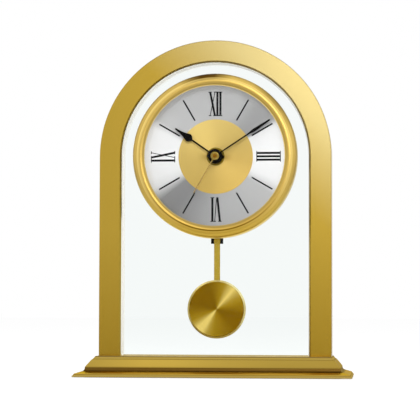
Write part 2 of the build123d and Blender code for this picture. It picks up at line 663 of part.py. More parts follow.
with BuildPart() as minute_hand:
    with BuildSketch(turned_at(MINUTE_BACK, MINUTE_ANGLE)):
        with BuildLine():
            neck = (MINUTE_STEM / 2, MINUTE_LEAF_START)
            leaf = (MINUTE_LEAF_WIDTH / 2, MINUTE_LEAF_AT)
            point = (MINUTE_TIP_WIDTH / 2, MINUTE_LENGTH)
            curve_mid = (neck[0] + LEAF_HOLLOW * (leaf[0] - neck[0]), (neck[1] + leaf[1]) / 2)
            Polyline((0, 0), (MINUTE_STEM / 2, 0), neck)
            ThreePointArc(neck, curve_mid, leaf)
            Polyline(leaf, point, (0, MINUTE_LENGTH), (0, 0))
        make_face()
        mirror(about=Plane.YZ)
    extrude(amount=HAND_BLADE)
    with BuildSketch(at_depth(MINUTE_BACK, z=HEAD_Z)):
        Circle(MINUTE_BOSS_RADIUS)
    extrude(amount=HAND_BOSS)
    with BuildSketch(at_depth(MINUTE_BACK, z=HEAD_Z)):
        Circle(MINUTE_TUBE + FIT_CLEARANCE)
    extrude(amount=HAND_BOSS, mode=Mode.SUBTRACT)
save(minute_hand.part, "minute_hand")

with BuildPart() as second_hand:
    with BuildSketch(turned_at(SECOND_BACK, SECOND_ANGLE)):
        with Locations((0, SECOND_LENGTH / 2)):
            Rectangle(SECOND_WIDTH, SECOND_LENGTH)
    extrude(amount=HAND_BLADE)
    with BuildSketch(at_depth(SECOND_BACK, z=HEAD_Z)):
        Circle(CAP_RADIUS)
    extrude(amount=CAP_TALL)
    fillet(second_hand.faces().sort_by(Axis.Y)[0].edges(), CAP_ROUND)
    with BuildSketch(at_depth(SECOND_BACK, z=HEAD_Z)):
        Circle(SECOND_ARBOR + FIT_CLEARANCE)
    extrude(amount=HAND_BOSS, mode=Mode.SUBTRACT)
save(second_hand.part, "second_hand")

# Movement: front plate with its bush, rear shell, motor, board and cell
with BuildPart() as rubber_washer:
    with BuildSketch(at_depth(CASE_FRONT, z=HEAD_Z)):
        Circle(RUBBER_RADIUS)
        Circle(BUSH_RADIUS + SEAT_CLEARANCE, mode=Mode.SUBTRACT)
    extrude(amount=RUBBER_THICK)
save(rubber_washer.part, "rubber_washer")

with BuildPart() as threaded_bush:
    with BuildSketch(at_depth(PLATE_BACK, z=HEAD_Z)):
        Circle(BUSH_RADIUS)
        Circle(BUSH_BORE, mode=Mode.SUBTRACT)
    extrude(amount=PLATE_BACK - BUSH_END)
save(threaded_bush.part, "threaded_bush")

with BuildPart() as movement_front:
    with BuildSketch(at_depth(PLATE_BACK, z=HEAD_Z)):
        RectangleRounded(CASE_SIDE, CASE_SIDE, CASE_CORNER)
        with Locations((0, -CASE_SIDE / 2 - HANGER_BOX_TALL / 2)):
            Rectangle(HANGER_BOX_WIDTH, HANGER_BOX_TALL)
        Circle(BUSH_RADIUS + FIT_CLEARANCE, mode=Mode.SUBTRACT)
    extrude(amount=CASE_WALL)
    with BuildSketch(at_depth(HANGER_FRONT - SEAT_CLEARANCE, z=PIVOT_Z)):
        Circle(2 * PIVOT_PIN_RADIUS)
    extrude(amount=HANGER_FRONT - SEAT_CLEARANCE - PLATE_BACK)
    with BuildSketch(at_depth(HANGER_FRONT - SEAT_CLEARANCE, z=PIVOT_Z)):
        Circle(PIVOT_PIN_RADIUS + FIT_CLEARANCE)
    extrude(amount=HANGER_FRONT - SEAT_CLEARANCE - ARBOR_FRONT, mode=Mode.SUBTRACT)
    with BuildSketch(at_depth(PLATE_BACK, z=HEAD_Z)):
        with Locations(*ARBOR_SPOTS):
            Circle(ARBOR_RADIUS + RUN_CLEARANCE)
        with Locations(KNOB_SPOT):
            Circle(KNOB_SHAFT_RADIUS + RUN_CLEARANCE)
    extrude(amount=PIVOT_SINK + RUN_CLEARANCE, mode=Mode.SUBTRACT)
save(movement_front.part, "movement_front")

with BuildPart() as movement_case:
    with BuildSketch(at_depth(CASE_BACK, z=HEAD_Z)):
        RectangleRounded(CASE_SIDE, CASE_SIDE, CASE_CORNER)
    extrude(amount=CASE_BACK - PLATE_BACK)
    with BuildSketch(at_depth(CASE_FLOOR, z=HEAD_Z)):
        RectangleRounded(2 * CASE_INSIDE, 2 * CASE_INSIDE, CASE_CORNER - CASE_WALL)
    extrude(amount=CASE_FLOOR - PLATE_BACK, mode=Mode.SUBTRACT)
    with BuildSketch(at_depth(BOX_BACK, z=CASE_BOTTOM - HANGER_BOX_TALL / 2)):
        Rectangle(HANGER_BOX_WIDTH, HANGER_BOX_TALL)
    extrude(amount=BOX_BACK - PLATE_BACK)
    with BuildSketch(at_depth(BOX_BACK - CASE_WALL, z=CASE_BOTTOM - HANGER_BOX_TALL / 2)):
        Rectangle(HANGER_BOX_WIDTH - 2 * CASE_WALL, HANGER_BOX_TALL)
    extrude(amount=BOX_BACK - CASE_WALL - PLATE_BACK, mode=Mode.SUBTRACT)
    with BuildSketch(at_depth(BOX_BACK - CASE_WALL, z=PIVOT_Z)):
        Circle(2 * PIVOT_PIN_RADIUS)
    extrude(amount=BOX_BACK - CASE_WALL - HANGER_BACK - SEAT_CLEARANCE)
    with BuildSketch(at_depth(BOX_BACK - CASE_WALL + PIVOT_SINK, z=PIVOT_Z)):
        Circle(PIVOT_PIN_RADIUS + FIT_CLEARANCE)
    extrude(amount=BOX_BACK - CASE_WALL + PIVOT_SINK - HANGER_BACK, mode=Mode.SUBTRACT)
    with BuildSketch(at_depth(CASE_FLOOR, z=BATTERY_Z + BAY_HALF + CASE_WALL / 2)):
        Rectangle(2 * CASE_INSIDE, CASE_WALL)
    extrude(amount=CASE_FLOOR - PLATE_BACK)
    with BuildSketch(at_depth(CASE_BACK, z=BATTERY_Z)):
        Rectangle(2 * CASE_INSIDE, 2 * BAY_HALF)
    extrude(amount=CASE_WALL, mode=Mode.SUBTRACT)
    with BuildSketch(at_depth(CASE_FLOOR, z=HEAD_Z)):
        with Locations(*((x, CORE_Z) for x in STATOR_POSTS)):
            Circle(BOSS_RADIUS)
    extrude(amount=CASE_FLOOR - CORE_BACK)
    with BuildSketch(at_depth(CASE_FLOOR, z=HEAD_Z)):
        with Locations(*((x, BOARD_Z) for x in BOARD_POSTS)):
            Circle(BOSS_RADIUS)
    extrude(amount=CASE_FLOOR - BOARD_BACK)
    with BuildSketch(at_depth(ARBOR_BACK + RUN_CLEARANCE, z=HEAD_Z)):
        Circle(SECOND_ARBOR + RUN_CLEARANCE)
        with Locations(*ARBOR_SPOTS):
            Circle(ARBOR_RADIUS + RUN_CLEARANCE)
    extrude(amount=PIVOT_SINK + RUN_CLEARANCE, mode=Mode.SUBTRACT)
    with BuildSketch(at_depth(CASE_BACK, z=HEAD_Z)):
        with Locations(KNOB_SPOT):
            Circle(KNOB_SHAFT_RADIUS + RUN_CLEARANCE)
    extrude(amount=CASE_WALL, mode=Mode.SUBTRACT)
save(movement_case.part, "movement_case")

with BuildPart() as stator:
    with BuildSketch(at_depth(STATOR_BACK, z=HEAD_Z)):
        with BuildLine():
            inner_left = STATOR_LEFT + STATOR_ARM
            inner_right = STATOR_RIGHT - STATOR_ARM
            Polyline((STATOR_LEFT, STATOR_TOP), (STATOR_LEFT, STATOR_BOTTOM), (STATOR_RIGHT, STATOR_BOTTOM),
                     (STATOR_RIGHT, STATOR_TOP), (inner_right, STATOR_TOP), (inner_right, STATOR_YOKE),
                     (inner_left, STATOR_YOKE), (inner_left, STATOR_TOP), close=True)
        make_face()
        with Locations(ROTOR_SPOT):
            Circle(STATOR_HOLE_RADIUS, mode=Mode.SUBTRACT)
    extrude(amount=STATOR_THICK)
save(stator.part, "stator")

with BuildPart() as coil_core:
    with BuildSketch(at_depth(CORE_BACK, x=COIL_X, z=HEAD_Z + CORE_Z)):
        Rectangle(STATOR_RIGHT - STATOR_LEFT, CORE_TALL)
    extrude(amount=STATOR_THICK)
save(coil_core.part, "coil_core")

with BuildPart() as motor_coil:
    with BuildSketch(Plane(origin=(COIL_X - COIL_LENGTH / 2, COIL_Y, HEAD_Z + CORE_Z), x_dir=(0, 1, 0),
                           z_dir=(1, 0, 0))):
        RectangleRounded(COIL_THICK, COIL_TALL, STATOR_THICK)
        Rectangle(STATOR_THICK + 2 * SEAT_CLEARANCE, CORE_TALL + 2 * SEAT_CLEARANCE, mode=Mode.SUBTRACT)
    extrude(amount=COIL_LENGTH)
save(motor_coil.part, "motor_coil")

with BuildPart() as circuit_board:
    with BuildSketch(at_depth(BOARD_BACK, x=BOARD_X, z=HEAD_Z + BOARD_Z)):
        Rectangle(BOARD_WIDTH, BOARD_TALL)
    extrude(amount=BOARD_THICK)
save(circuit_board.part, "circuit_board")

with BuildPart() as quartz_crystal:
    with BuildSketch(Plane(origin=(BOARD_X, BOARD_BACK - BOARD_THICK - CRYSTAL_RADIUS, HEAD_Z + BOARD_Z),
                           x_dir=(0, 1, 0), z_dir=(1, 0, 0))):
        Circle(CRYSTAL_RADIUS)
    extrude(amount=CRYSTAL_LENGTH)
save(quartz_crystal.part, "quartz_crystal")

CELL_LEFT = -BATTERY_LENGTH / 2 - BATTERY_NUB / 2
CELL_RIGHT = CELL_LEFT + BATTERY_LENGTH
NUB_END = CELL_RIGHT + BATTERY_NUB
CELL_PLANE = Plane(origin=(CELL_LEFT, BATTERY_Y, BATTERY_Z), x_dir=(0, 1, 0), z_dir=(1, 0, 0))

with BuildPart() as battery:
    with BuildSketch(CELL_PLANE):
        Circle(BATTERY_RADIUS)
    extrude(amount=BATTERY_LENGTH)
    with BuildSketch(CELL_PLANE.offset(BATTERY_LENGTH)):
        Circle(BATTERY_NUB_RADIUS)
    extrude(amount=BATTERY_NUB)
save(battery.part, "battery")

with BuildPart() as contact_plate:
    with BuildSketch(at_depth(BATTERY_Y + CONTACT_WIDTH / 2, z=BATTERY_Z)):
        with BuildLine():
            plate_back = CASE_INSIDE - SEAT_CLEARANCE
            Polyline((plate_back, CONTACT_HALF), (plate_back, -CONTACT_HALF),
                     (plate_back - CONTACT_THICK, -CONTACT_HALF), (NUB_END + SEAT_CLEARANCE, 0),
                     (plate_back - CONTACT_THICK, CONTACT_HALF), close=True)
        make_face()
    extrude(amount=CONTACT_WIDTH)
save(contact_plate.part, "contact_plate")

with BuildPart() as contact_leaf:
    with BuildSketch(at_depth(BATTERY_Y + CONTACT_WIDTH / 2, z=BATTERY_Z)):
        with BuildLine():
            leaf_back = -CASE_INSIDE + SEAT_CLEARANCE
            leaf_nose = CELL_LEFT - SEAT_CLEARANCE
            Polyline((leaf_back, CONTACT_HALF), (leaf_back, -CONTACT_HALF),
                     (leaf_back + CONTACT_THICK, -CONTACT_HALF), (leaf_nose, 0),
                     (leaf_nose - CONTACT_THICK, CONTACT_THICK),
                     (leaf_back + CONTACT_THICK, -CONTACT_HALF / 2),
                     (leaf_back + CONTACT_THICK, CONTACT_HALF), close=True)
        make_face()
    extrude(amount=CONTACT_WIDTH)
save(contact_leaf.part, "contact_leaf")

# Wheel train, from the hour wheel at the front to the motor's rotor at the back
with BuildPart() as hour_wheel:
    with BuildSketch(at_depth(HOUR_LAYER + MOTION_WHEEL_THICK, z=HEAD_Z)):
        add(wheel(HOUR_WHEEL_TEETH, HOUR_MODULE, math.radians(MINUTE_WHEEL_ANGLE)))
    extrude(amount=MOTION_WHEEL_THICK)
    with BuildSketch(at_depth(HOUR_LAYER, z=HEAD_Z)):
        Circle(HOUR_PIPE)
    extrude(amount=HOUR_LAYER - HOUR_BACK + HAND_BOSS)
    with BuildSketch(at_depth(HOUR_LAYER + MOTION_WHEEL_THICK, z=HEAD_Z)):
        Circle(HOUR_PIPE_BORE)
    extrude(amount=HOUR_LAYER + MOTION_WHEEL_THICK - HOUR_BACK + HAND_BOSS, mode=Mode.SUBTRACT)
save(hour_wheel.part, "hour_wheel")

with BuildPart() as minute_wheel:
    with BuildSketch(at_depth(MINUTE_LAYER + MOTION_WHEEL_THICK, MINUTE_SPOT[0], HEAD_Z + MINUTE_SPOT[1])):
        add(wheel(MINUTE_WHEEL_TEETH, MOTION_MODULE, MINUTE_WHEEL_TURN))
    extrude(amount=MOTION_WHEEL_THICK)
    with BuildSketch(at_depth(MINUTE_LAYER, MINUTE_SPOT[0], HEAD_Z + MINUTE_SPOT[1])):
        add(pinion(MINUTE_PINION_TEETH, HOUR_MODULE, facing_space(MINUTE_WHEEL_ANGLE, MINUTE_PINION_TEETH)))
    extrude(amount=MINUTE_LAYER - HOUR_LAYER + PINION_EXTRA)
    with BuildSketch(at_depth(ARBOR_BACK, MINUTE_SPOT[0], HEAD_Z + MINUTE_SPOT[1])):
        Circle(ARBOR_RADIUS)
    extrude(amount=ARBOR_BACK - ARBOR_FRONT)
save(minute_wheel.part, "minute_wheel")

with BuildPart() as cannon_pinion:
    with BuildSketch(at_depth(MINUTE_LAYER + MOTION_WHEEL_THICK + PINION_EXTRA, z=HEAD_Z)):
        add(pinion(CANNON_TEETH, MOTION_MODULE, math.radians(MINUTE_WHEEL_ANGLE)))
    extrude(amount=MOTION_WHEEL_THICK + PINION_EXTRA)
    with BuildSketch(at_depth(CENTRE_LAYER + WHEEL_THICK + PINION_EXTRA, z=HEAD_Z)):
        Circle(MINUTE_TUBE)
    extrude(amount=CENTRE_LAYER + WHEEL_THICK + PINION_EXTRA - MINUTE_BACK + HAND_BOSS)
    with BuildSketch(at_depth(CENTRE_LAYER + WHEEL_THICK + PINION_EXTRA, z=HEAD_Z)):
        Circle(MINUTE_TUBE_BORE)
    extrude(amount=CENTRE_LAYER + WHEEL_THICK + PINION_EXTRA - MINUTE_BACK + HAND_BOSS, mode=Mode.SUBTRACT)
save(cannon_pinion.part, "cannon_pinion")

with BuildPart() as centre_wheel:
    with BuildSketch(at_depth(CENTRE_LAYER + WHEEL_THICK, z=HEAD_Z)):
        add(wheel(CENTRE_WHEEL_TEETH, CENTRE_MODULE, math.radians(THIRD_ANGLE)))
        Circle(MINUTE_TUBE + RUN_CLEARANCE, mode=Mode.SUBTRACT)
    extrude(amount=WHEEL_THICK)
save(centre_wheel.part, "centre_wheel")

with BuildPart() as third_wheel:
    third_x = THIRD_SPOT[0]
    third_z = HEAD_Z + THIRD_SPOT[1]
    with BuildSketch(at_depth(THIRD_LAYER + WHEEL_THICK, third_x, third_z)):
        add(wheel(THIRD_WHEEL_TEETH, THIRD_WHEEL_MODULE, facing_space(THIRD_ANGLE, THIRD_WHEEL_TEETH)))
    extrude(amount=WHEEL_THICK)
    with BuildSketch(at_depth(CENTRE_LAYER + WHEEL_THICK + PINION_EXTRA, third_x, third_z)):
        add(pinion(THIRD_PINION_TEETH, CENTRE_MODULE, facing_space(THIRD_ANGLE, THIRD_PINION_TEETH)))
    extrude(amount=WHEEL_THICK + 2 * PINION_EXTRA)
    with BuildSketch(at_depth(THIRD_LAYER, third_x, third_z)):
        Circle(COLLAR_RADIUS)
    extrude(amount=LAYER_STEP)
    with BuildSketch(at_depth(ARBOR_BACK, third_x, third_z)):
        Circle(ARBOR_RADIUS)
    extrude(amount=ARBOR_BACK - ARBOR_FRONT)
save(third_wheel.part, "third_wheel")

with BuildPart() as second_wheel:
    with BuildSketch(at_depth(SECOND_LAYER + WHEEL_THICK, z=HEAD_Z)):
        add(wheel(SECOND_WHEEL_TEETH, SECOND_WHEEL_MODULE, math.radians(INTERMEDIATE_ANGLE)))
    extrude(amount=WHEEL_THICK)
    with BuildSketch(at_depth(SECOND_LAYER, z=HEAD_Z)):
        add(pinion(SECOND_PINION_TEETH, THIRD_WHEEL_MODULE, math.radians(THIRD_ANGLE)))
    extrude(amount=SECOND_LAYER - THIRD_LAYER + PINION_EXTRA)
    with BuildSketch(at_depth(ARBOR_BACK, z=HEAD_Z)):
        Circle(SECOND_ARBOR)
    extrude(amount=ARBOR_BACK - SECOND_BACK + HAND_BOSS - SEAT_CLEARANCE)
save(second_wheel.part, "second_wheel")

with BuildPart() as intermediate_wheel:
    spot_x = INTERMEDIATE_SPOT[0]
    spot_z = HEAD_Z + INTERMEDIATE_SPOT[1]
    with BuildSketch(at_depth(INTERMEDIATE_LAYER + WHEEL_THICK, spot_x, spot_z)):
        add(wheel(INTERMEDIATE_WHEEL_TEETH, ROTOR_MODULE, math.radians(ROTOR_ANGLE)))
    extrude(amount=WHEEL_THICK)
    with BuildSketch(at_depth(INTERMEDIATE_LAYER, spot_x, spot_z)):
        add(pinion(INTERMEDIATE_PINION_TEETH, SECOND_WHEEL_MODULE,
                   facing_space(INTERMEDIATE_ANGLE, INTERMEDIATE_PINION_TEETH)))
    extrude(amount=INTERMEDIATE_LAYER - SECOND_LAYER + PINION_EXTRA)
    with BuildSketch(at_depth(ARBOR_BACK, spot_x, spot_z)):
        Circle(ARBOR_RADIUS)
    extrude(amount=ARBOR_BACK - ARBOR_FRONT)
save(intermediate_wheel.part, "intermediate_wheel")

with BuildPart() as rotor:
    rotor_z = HEAD_Z + ROTOR_SPOT[1]
    with BuildSketch(at_depth(ROTOR_LAYER, ROTOR_SPOT[0], rotor_z)):
        add(pinion(ROTOR_PINION_TEETH, ROTOR_MODULE, facing_space(ROTOR_ANGLE, ROTOR_PINION_TEETH)))
    extrude(amount=ROTOR_LAYER - INTERMEDIATE_LAYER + PINION_EXTRA)
    with BuildSketch(at_depth(ROTOR_LAYER + ROTOR_MAGNET_TALL, ROTOR_SPOT[0], rotor_z)):
        Circle(ROTOR_MAGNET_RADIUS)
    extrude(amount=ROTOR_MAGNET_TALL)
    with BuildSketch(at_depth(ARBOR_BACK, ROTOR_SPOT[0], rotor_z)):
        Circle(ARBOR_RADIUS)
    extrude(amount=ARBOR_BACK - ARBOR_FRONT)
save(rotor.part, "rotor")

with BuildPart() as setting_knob:
    knob_z = HEAD_Z + KNOB_SPOT[1]
    knob_front = CASE_BACK + LAYER_GAP
    with BuildSketch(at_depth(MINUTE_LAYER + MOTION_WHEEL_THICK + PINION_EXTRA, KNOB_SPOT[0], knob_z)):
        add(pinion(KNOB_TEETH, MOTION_MODULE,
                   meshed(KNOB_ANGLE, MINUTE_WHEEL_TURN, MINUTE_WHEEL_TEETH, KNOB_TEETH)))
    extrude(amount=MOTION_WHEEL_THICK + 2 * PINION_EXTRA)
    with BuildSketch(at_depth(knob_front, KNOB_SPOT[0], knob_z)):
        Circle(KNOB_SHAFT_RADIUS)
    extrude(amount=knob_front - ARBOR_FRONT)
    with BuildSketch(at_depth(knob_front + KNOB_TALL, KNOB_SPOT[0], knob_z)):
        Circle(KNOB_RADIUS)
        with PolarLocations(KNOB_RADIUS, KNOB_GROOVES):
            Circle(KNOB_GROOVE_RADIUS, mode=Mode.SUBTRACT)
    extrude(amount=KNOB_TALL)
save(setting_knob.part, "setting_knob")

# Pendulum: drive coil, pivot pin, black hanger with its magnet, flat rod and bob
with BuildPart() as pendulum_coil:
    with BuildSketch(at_depth(HANGER_FRONT - MAGNET_THICK - DRIVE_COIL_GAP, z=MAGNET_Z)):
        Circle(DRIVE_COIL_RADIUS)
        Circle(DRIVE_COIL_CORE, mode=Mode.SUBTRACT)
    extrude(amount=HANGER_FRONT - MAGNET_THICK - DRIVE_COIL_GAP - PLATE_BACK)
save(pendulum_coil.part, "pendulum_coil")

with BuildPart() as hanger_pin:
    with BuildSketch(at_depth(BOX_BACK - CASE_WALL + PIVOT_SINK, z=PIVOT_Z)):
        Circle(PIVOT_PIN_RADIUS)
    extrude(amount=BOX_BACK - CASE_WALL + PIVOT_SINK - ARBOR_FRONT)
save(hanger_pin.part, "hanger_pin")

with BuildPart() as pendulum_hanger:
    with BuildSketch(at_depth(HANGER_BACK, z=PIVOT_Z)):
        Circle(HANGER_WIDTH / 2)
        with Locations((0, -HANGER_LENGTH / 2)):
            Rectangle(HANGER_WIDTH, HANGER_LENGTH)
        Circle(PIVOT_PIN_RADIUS + RUN_CLEARANCE, mode=Mode.SUBTRACT)
        with Locations((0, FORK_SLOT / 2 - HANGER_LENGTH)):
            Rectangle(ROD_SLOT, FORK_SLOT, mode=Mode.SUBTRACT)
    extrude(amount=HANGER_THICK)
    with BuildSketch(Plane(origin=(-HANGER_WIDTH / 2, ROD_Y, ROD_PIN_Z), x_dir=(0, 1, 0), z_dir=(1, 0, 0))):
        Circle(ROD_PIN_RADIUS + FIT_CLEARANCE)
    extrude(amount=HANGER_WIDTH, mode=Mode.SUBTRACT)
save(pendulum_hanger.part, "pendulum_hanger")

with BuildPart() as hanger_magnet:
    with BuildSketch(at_depth(HANGER_FRONT, z=MAGNET_Z)):
        Circle(MAGNET_RADIUS)
    extrude(amount=MAGNET_THICK)
save(hanger_magnet.part, "hanger_magnet")

with BuildPart() as rod_pin:
    with BuildSketch(Plane(origin=(-HANGER_WIDTH / 2, ROD_Y, ROD_PIN_Z), x_dir=(0, 1, 0), z_dir=(1, 0, 0))):
        Circle(ROD_PIN_RADIUS)
    extrude(amount=HANGER_WIDTH)
save(rod_pin.part, "rod_pin")

with BuildPart() as pendulum_rod:
    with BuildSketch(Plane(origin=(-ROD_WIDTH / 2, ROD_Y, 0), x_dir=(0, 1, 0), z_dir=(1, 0, 0))):
        with Locations((0, ROD_PIN_Z)):
            Circle(ROD_EYE_RADIUS)
        with Locations((0, (BOB_Z - ROD_TAIL + ROD_PIN_Z) / 2)):
            Rectangle(ROD_THICK, ROD_PIN_Z - BOB_Z + ROD_TAIL)
        with Locations((0, ROD_PIN_Z)):
            Circle(ROD_PIN_RADIUS + SEAT_CLEARANCE, mode=Mode.SUBTRACT)
    extrude(amount=ROD_WIDTH)
    with BuildSketch(at_depth(ROD_BACK, z=BOB_Z)):
        Circle(RIVET_RADIUS + FIT_CLEARANCE)
    extrude(amount=ROD_THICK, mode=Mode.SUBTRACT)
save(pendulum_rod.part, "pendulum_rod")

with BuildPart() as pendulum_bob:
    with BuildSketch(lathe_plane(z=BOB_Z)):
        with BuildLine():
            bob_face = BOB_BACK - BOB_THICK
            Polyline((0, BOB_BACK), (BOB_RADIUS - BOB_BEVEL_DROP, BOB_BACK),
                     (BOB_RADIUS, BOB_BACK - BOB_BEVEL_DROP), (BOB_RADIUS, bob_face + BOB_BEVEL_DROP),
                     (BOB_RADIUS - BOB_BEVEL, bob_face), (0, bob_face), close=True)
        make_face()
    revolve(axis=lathe_axis(z=BOB_Z))
    with BuildSketch(at_depth(BOB_BACK, z=BOB_Z)):
        Circle(RIVET_RADIUS + FIT_CLEARANCE)
    extrude(amount=BOB_THICK / 2, mode=Mode.SUBTRACT)
save(pendulum_bob.part, "pendulum_bob")

with BuildPart() as bob_rivet:
    with BuildSketch(at_depth(ROD_BACK, z=BOB_Z)):
        Circle(RIVET_RADIUS)
    extrude(amount=ROD_THICK + BOB_THICK / 2 - SEAT_CLEARANCE)
    with BuildSketch(at_depth(ROD_BACK + RIVET_HEAD_TALL, z=BOB_Z)):
        Circle(RIVET_HEAD)
    extrude(amount=RIVET_HEAD_TALL)
    chamfer(bob_rivet.faces().sort_by(Axis.Y)[-1].edges(), RIVET_HEAD_TALL / 2)
save(bob_rivet.part, "bob_rivet")
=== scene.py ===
import math
import bmesh
import bpy
from mathutils import Matrix, Vector


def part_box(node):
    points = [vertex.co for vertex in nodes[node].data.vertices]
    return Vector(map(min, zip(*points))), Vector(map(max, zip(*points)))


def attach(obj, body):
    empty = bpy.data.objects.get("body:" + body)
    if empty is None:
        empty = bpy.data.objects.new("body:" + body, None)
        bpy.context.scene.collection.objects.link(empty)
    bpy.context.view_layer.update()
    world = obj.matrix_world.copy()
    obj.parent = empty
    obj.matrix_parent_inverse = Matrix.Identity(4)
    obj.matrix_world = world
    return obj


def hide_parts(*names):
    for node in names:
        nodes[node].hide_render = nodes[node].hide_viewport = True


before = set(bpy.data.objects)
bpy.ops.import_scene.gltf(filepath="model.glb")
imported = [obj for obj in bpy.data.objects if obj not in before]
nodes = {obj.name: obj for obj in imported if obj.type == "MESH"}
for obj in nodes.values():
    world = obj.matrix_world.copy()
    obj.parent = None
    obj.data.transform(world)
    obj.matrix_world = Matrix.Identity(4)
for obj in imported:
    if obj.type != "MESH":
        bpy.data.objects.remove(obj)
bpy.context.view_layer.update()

# The camera stands in front of the clock, a little to its right and low, on a long lens.
# The clock is framed whole, with white all round it.
CAMERA_PLACE = (0.1136, -1.2000, 0.0500)
CAMERA_AIM = (-0.0042, 0.0, 0.11325)
CAMERA_LENS = 151.4
CAMERA_SENSOR = 36.0
CAMERA_NEAR = 0.01
CAMERA_ROLL = math.radians(0.13)


def in_scene(name, data):
    """A new object in the scene."""
    made = bpy.data.objects.new(name, data)
    bpy.context.scene.collection.objects.link(made)
    return made


camera_data = bpy.data.cameras.new("camera")
camera_data.lens = CAMERA_LENS
camera_data.sensor_width = CAMERA_SENSOR
camera_data.clip_start = CAMERA_NEAR
camera = in_scene("camera", camera_data)
look = Vector(CAMERA_AIM) - Vector(CAMERA_PLACE)
turned = look.to_track_quat("-Z", "Y").to_matrix() @ Matrix.Rotation(CAMERA_ROLL, 3, "Z")
camera.matrix_world = Matrix.Translation(CAMERA_PLACE) @ turned.to_4x4()
bpy.context.scene.camera = camera
bpy.context.scene.view_settings.view_transform = "Standard"

# The studio is a white room with a plain pale table. A large soft lamp stands in front on the
# right, a weaker one on the left, and a narrow one shines from behind. A dark card overhead shows
# only in reflections, where it gives polished edges a contrast.
WHITE = (1.0, 1.0, 1.0, 1.0)
AMBIENT = 0.52
FLOOR_SIZE = 9.0
FLOOR_WHITE = (0.93, 0.93, 0.93, 1.0)
FLOOR_LIFT = 0.50
FLOOR_GLOSS = 0.20
FLOOR_BEHIND = (0.05, 0.40)
LAMP_AIM = (0.0, 0.0, 0.13)
KEY_PLACE = (0.27, -1.22, 0.57)
KEY_SIZE = (0.52, 0.50)
KEY_POWER = 3.5
FILL_PLACE = (-0.9, -1.0, 1.3)
FILL_SIZE = (0.9, 0.9)
FILL_POWER = 3.0
BACK_PLACE = (-0.5, 1.5, 0.42)
BACK_POWER = 26.0
BACK_BEAM = math.radians(15.0)
BACK_BLEND = 0.6
BACK_SOFT = 0.3
CARD_PLACE = (0.0, 0.55, 1.0)
CARD_SIZE = (1.4, 0.7)
CARD_BLACK = (0.02, 0.02, 0.02, 1.0)
CARD_ROUGH = 0.9


def add_node(tree, kind, **settings):
    made = tree.nodes.new(kind)
    for name, value in settings.items():
        setattr(made, name, value)
    return made


def feed(tree, socket, value):
    """Links a socket to an input, or sets the input to a plain value."""
    if isinstance(value, bpy.types.NodeSocket):
        tree.links.new(value, socket)
    else:
        socket.default_value = value


def feed_all(tree, made, **values):
    """Feeds a node's inputs by name, with an underscore for each space."""
    for name, value in values.items():
        feed(tree, made.inputs[name.replace("_", " ")], value)


def calc(tree, operation, first, second=0.0):
    made = add_node(tree, "ShaderNodeMath", operation=operation)
    feed(tree, made.inputs[0], first)
    feed(tree, made.inputs[1], second)
    return made.outputs[0]


def shown_rays(tree, gloss=1.0):
    """One for rays from the camera and through glass, a share for those from gloss, and none
    for light that a matt surface has already scattered."""
    path = add_node(tree, "ShaderNodeLightPath")
    mirrored = calc(tree, "MULTIPLY", path.outputs["Is Glossy Ray"], gloss)
    seen = calc(tree, "MAXIMUM", path.outputs["Is Camera Ray"], mirrored)
    through = calc(tree, "MAXIMUM", seen, path.outputs["Is Transmission Ray"])
    return calc(tree, "MULTIPLY", through, calc(tree, "LESS_THAN", path.outputs["Diffuse Depth"], 0.5))


def white_light(tree, strength):
    made = add_node(tree, "ShaderNodeBackground")
    feed_all(tree, made, Color=WHITE, Strength=strength)
    return made.outputs[0]


def place_of(tree):
    """The point on the piece, as its three separate distances."""
    spot = add_node(tree, "ShaderNodeTexCoord")
    parts = add_node(tree, "ShaderNodeSeparateXYZ")
    tree.links.new(spot.outputs["Object"], parts.inputs[0])
    return parts.outputs[0], parts.outputs[1], parts.outputs[2]


def share_between(tree, value, low, high, kind="LINEAR"):
    """How far a value has come from low to high, held between nought and one."""
    made = add_node(tree, "ShaderNodeMapRange", interpolation_type=kind)
    feed_all(tree, made, Value=value, From_Min=low, From_Max=high)
    return made.outputs["Result"]


def flat_sheet(name, size_x, size_y, place):
    """A level sheet of the studio, no part of the clock."""
    half_x = size_x / 2
    half_y = size_y / 2
    corners = [(-half_x, -half_y, 0.0), (half_x, -half_y, 0.0),
               (half_x, half_y, 0.0), (-half_x, half_y, 0.0)]
    mesh = bpy.data.meshes.new(name)
    mesh.from_pydata(corners, [], [(0, 1, 2, 3)])
    mesh.transform(Matrix.Translation(place))
    sheet = in_scene(name, mesh)
    return sheet


def placed_lamp(name, kind, place, power):
    data = bpy.data.lights.new(name, kind)
    data.energy = power
    lamp = in_scene(name, data)
    turn = (Vector(LAMP_AIM) - Vector(place)).to_track_quat("-Z", "Y").to_matrix().to_4x4()
    lamp.matrix_world = Matrix.Translation(place) @ turn
    return lamp


def soft_lamp(name, place, size, power):
    lamp = placed_lamp(name, "AREA", place, power)
    lamp.data.shape = "RECTANGLE"
    lamp.data.size, lamp.data.size_y = size
    return lamp


world = bpy.data.worlds.new("studio")
bpy.context.scene.world = world
world.use_nodes = True
room = world.node_tree
room.nodes.clear()
room_mix = add_node(room, "ShaderNodeMixShader")
room_out = add_node(room, "ShaderNodeOutputWorld")
feed(room, room_mix.inputs[0], shown_rays(room))
feed(room, room_mix.inputs[1], white_light(room, AMBIENT))
feed(room, room_mix.inputs[2], white_light(room, 1.0))
feed(room, room_out.inputs[0], room_mix.outputs[0])

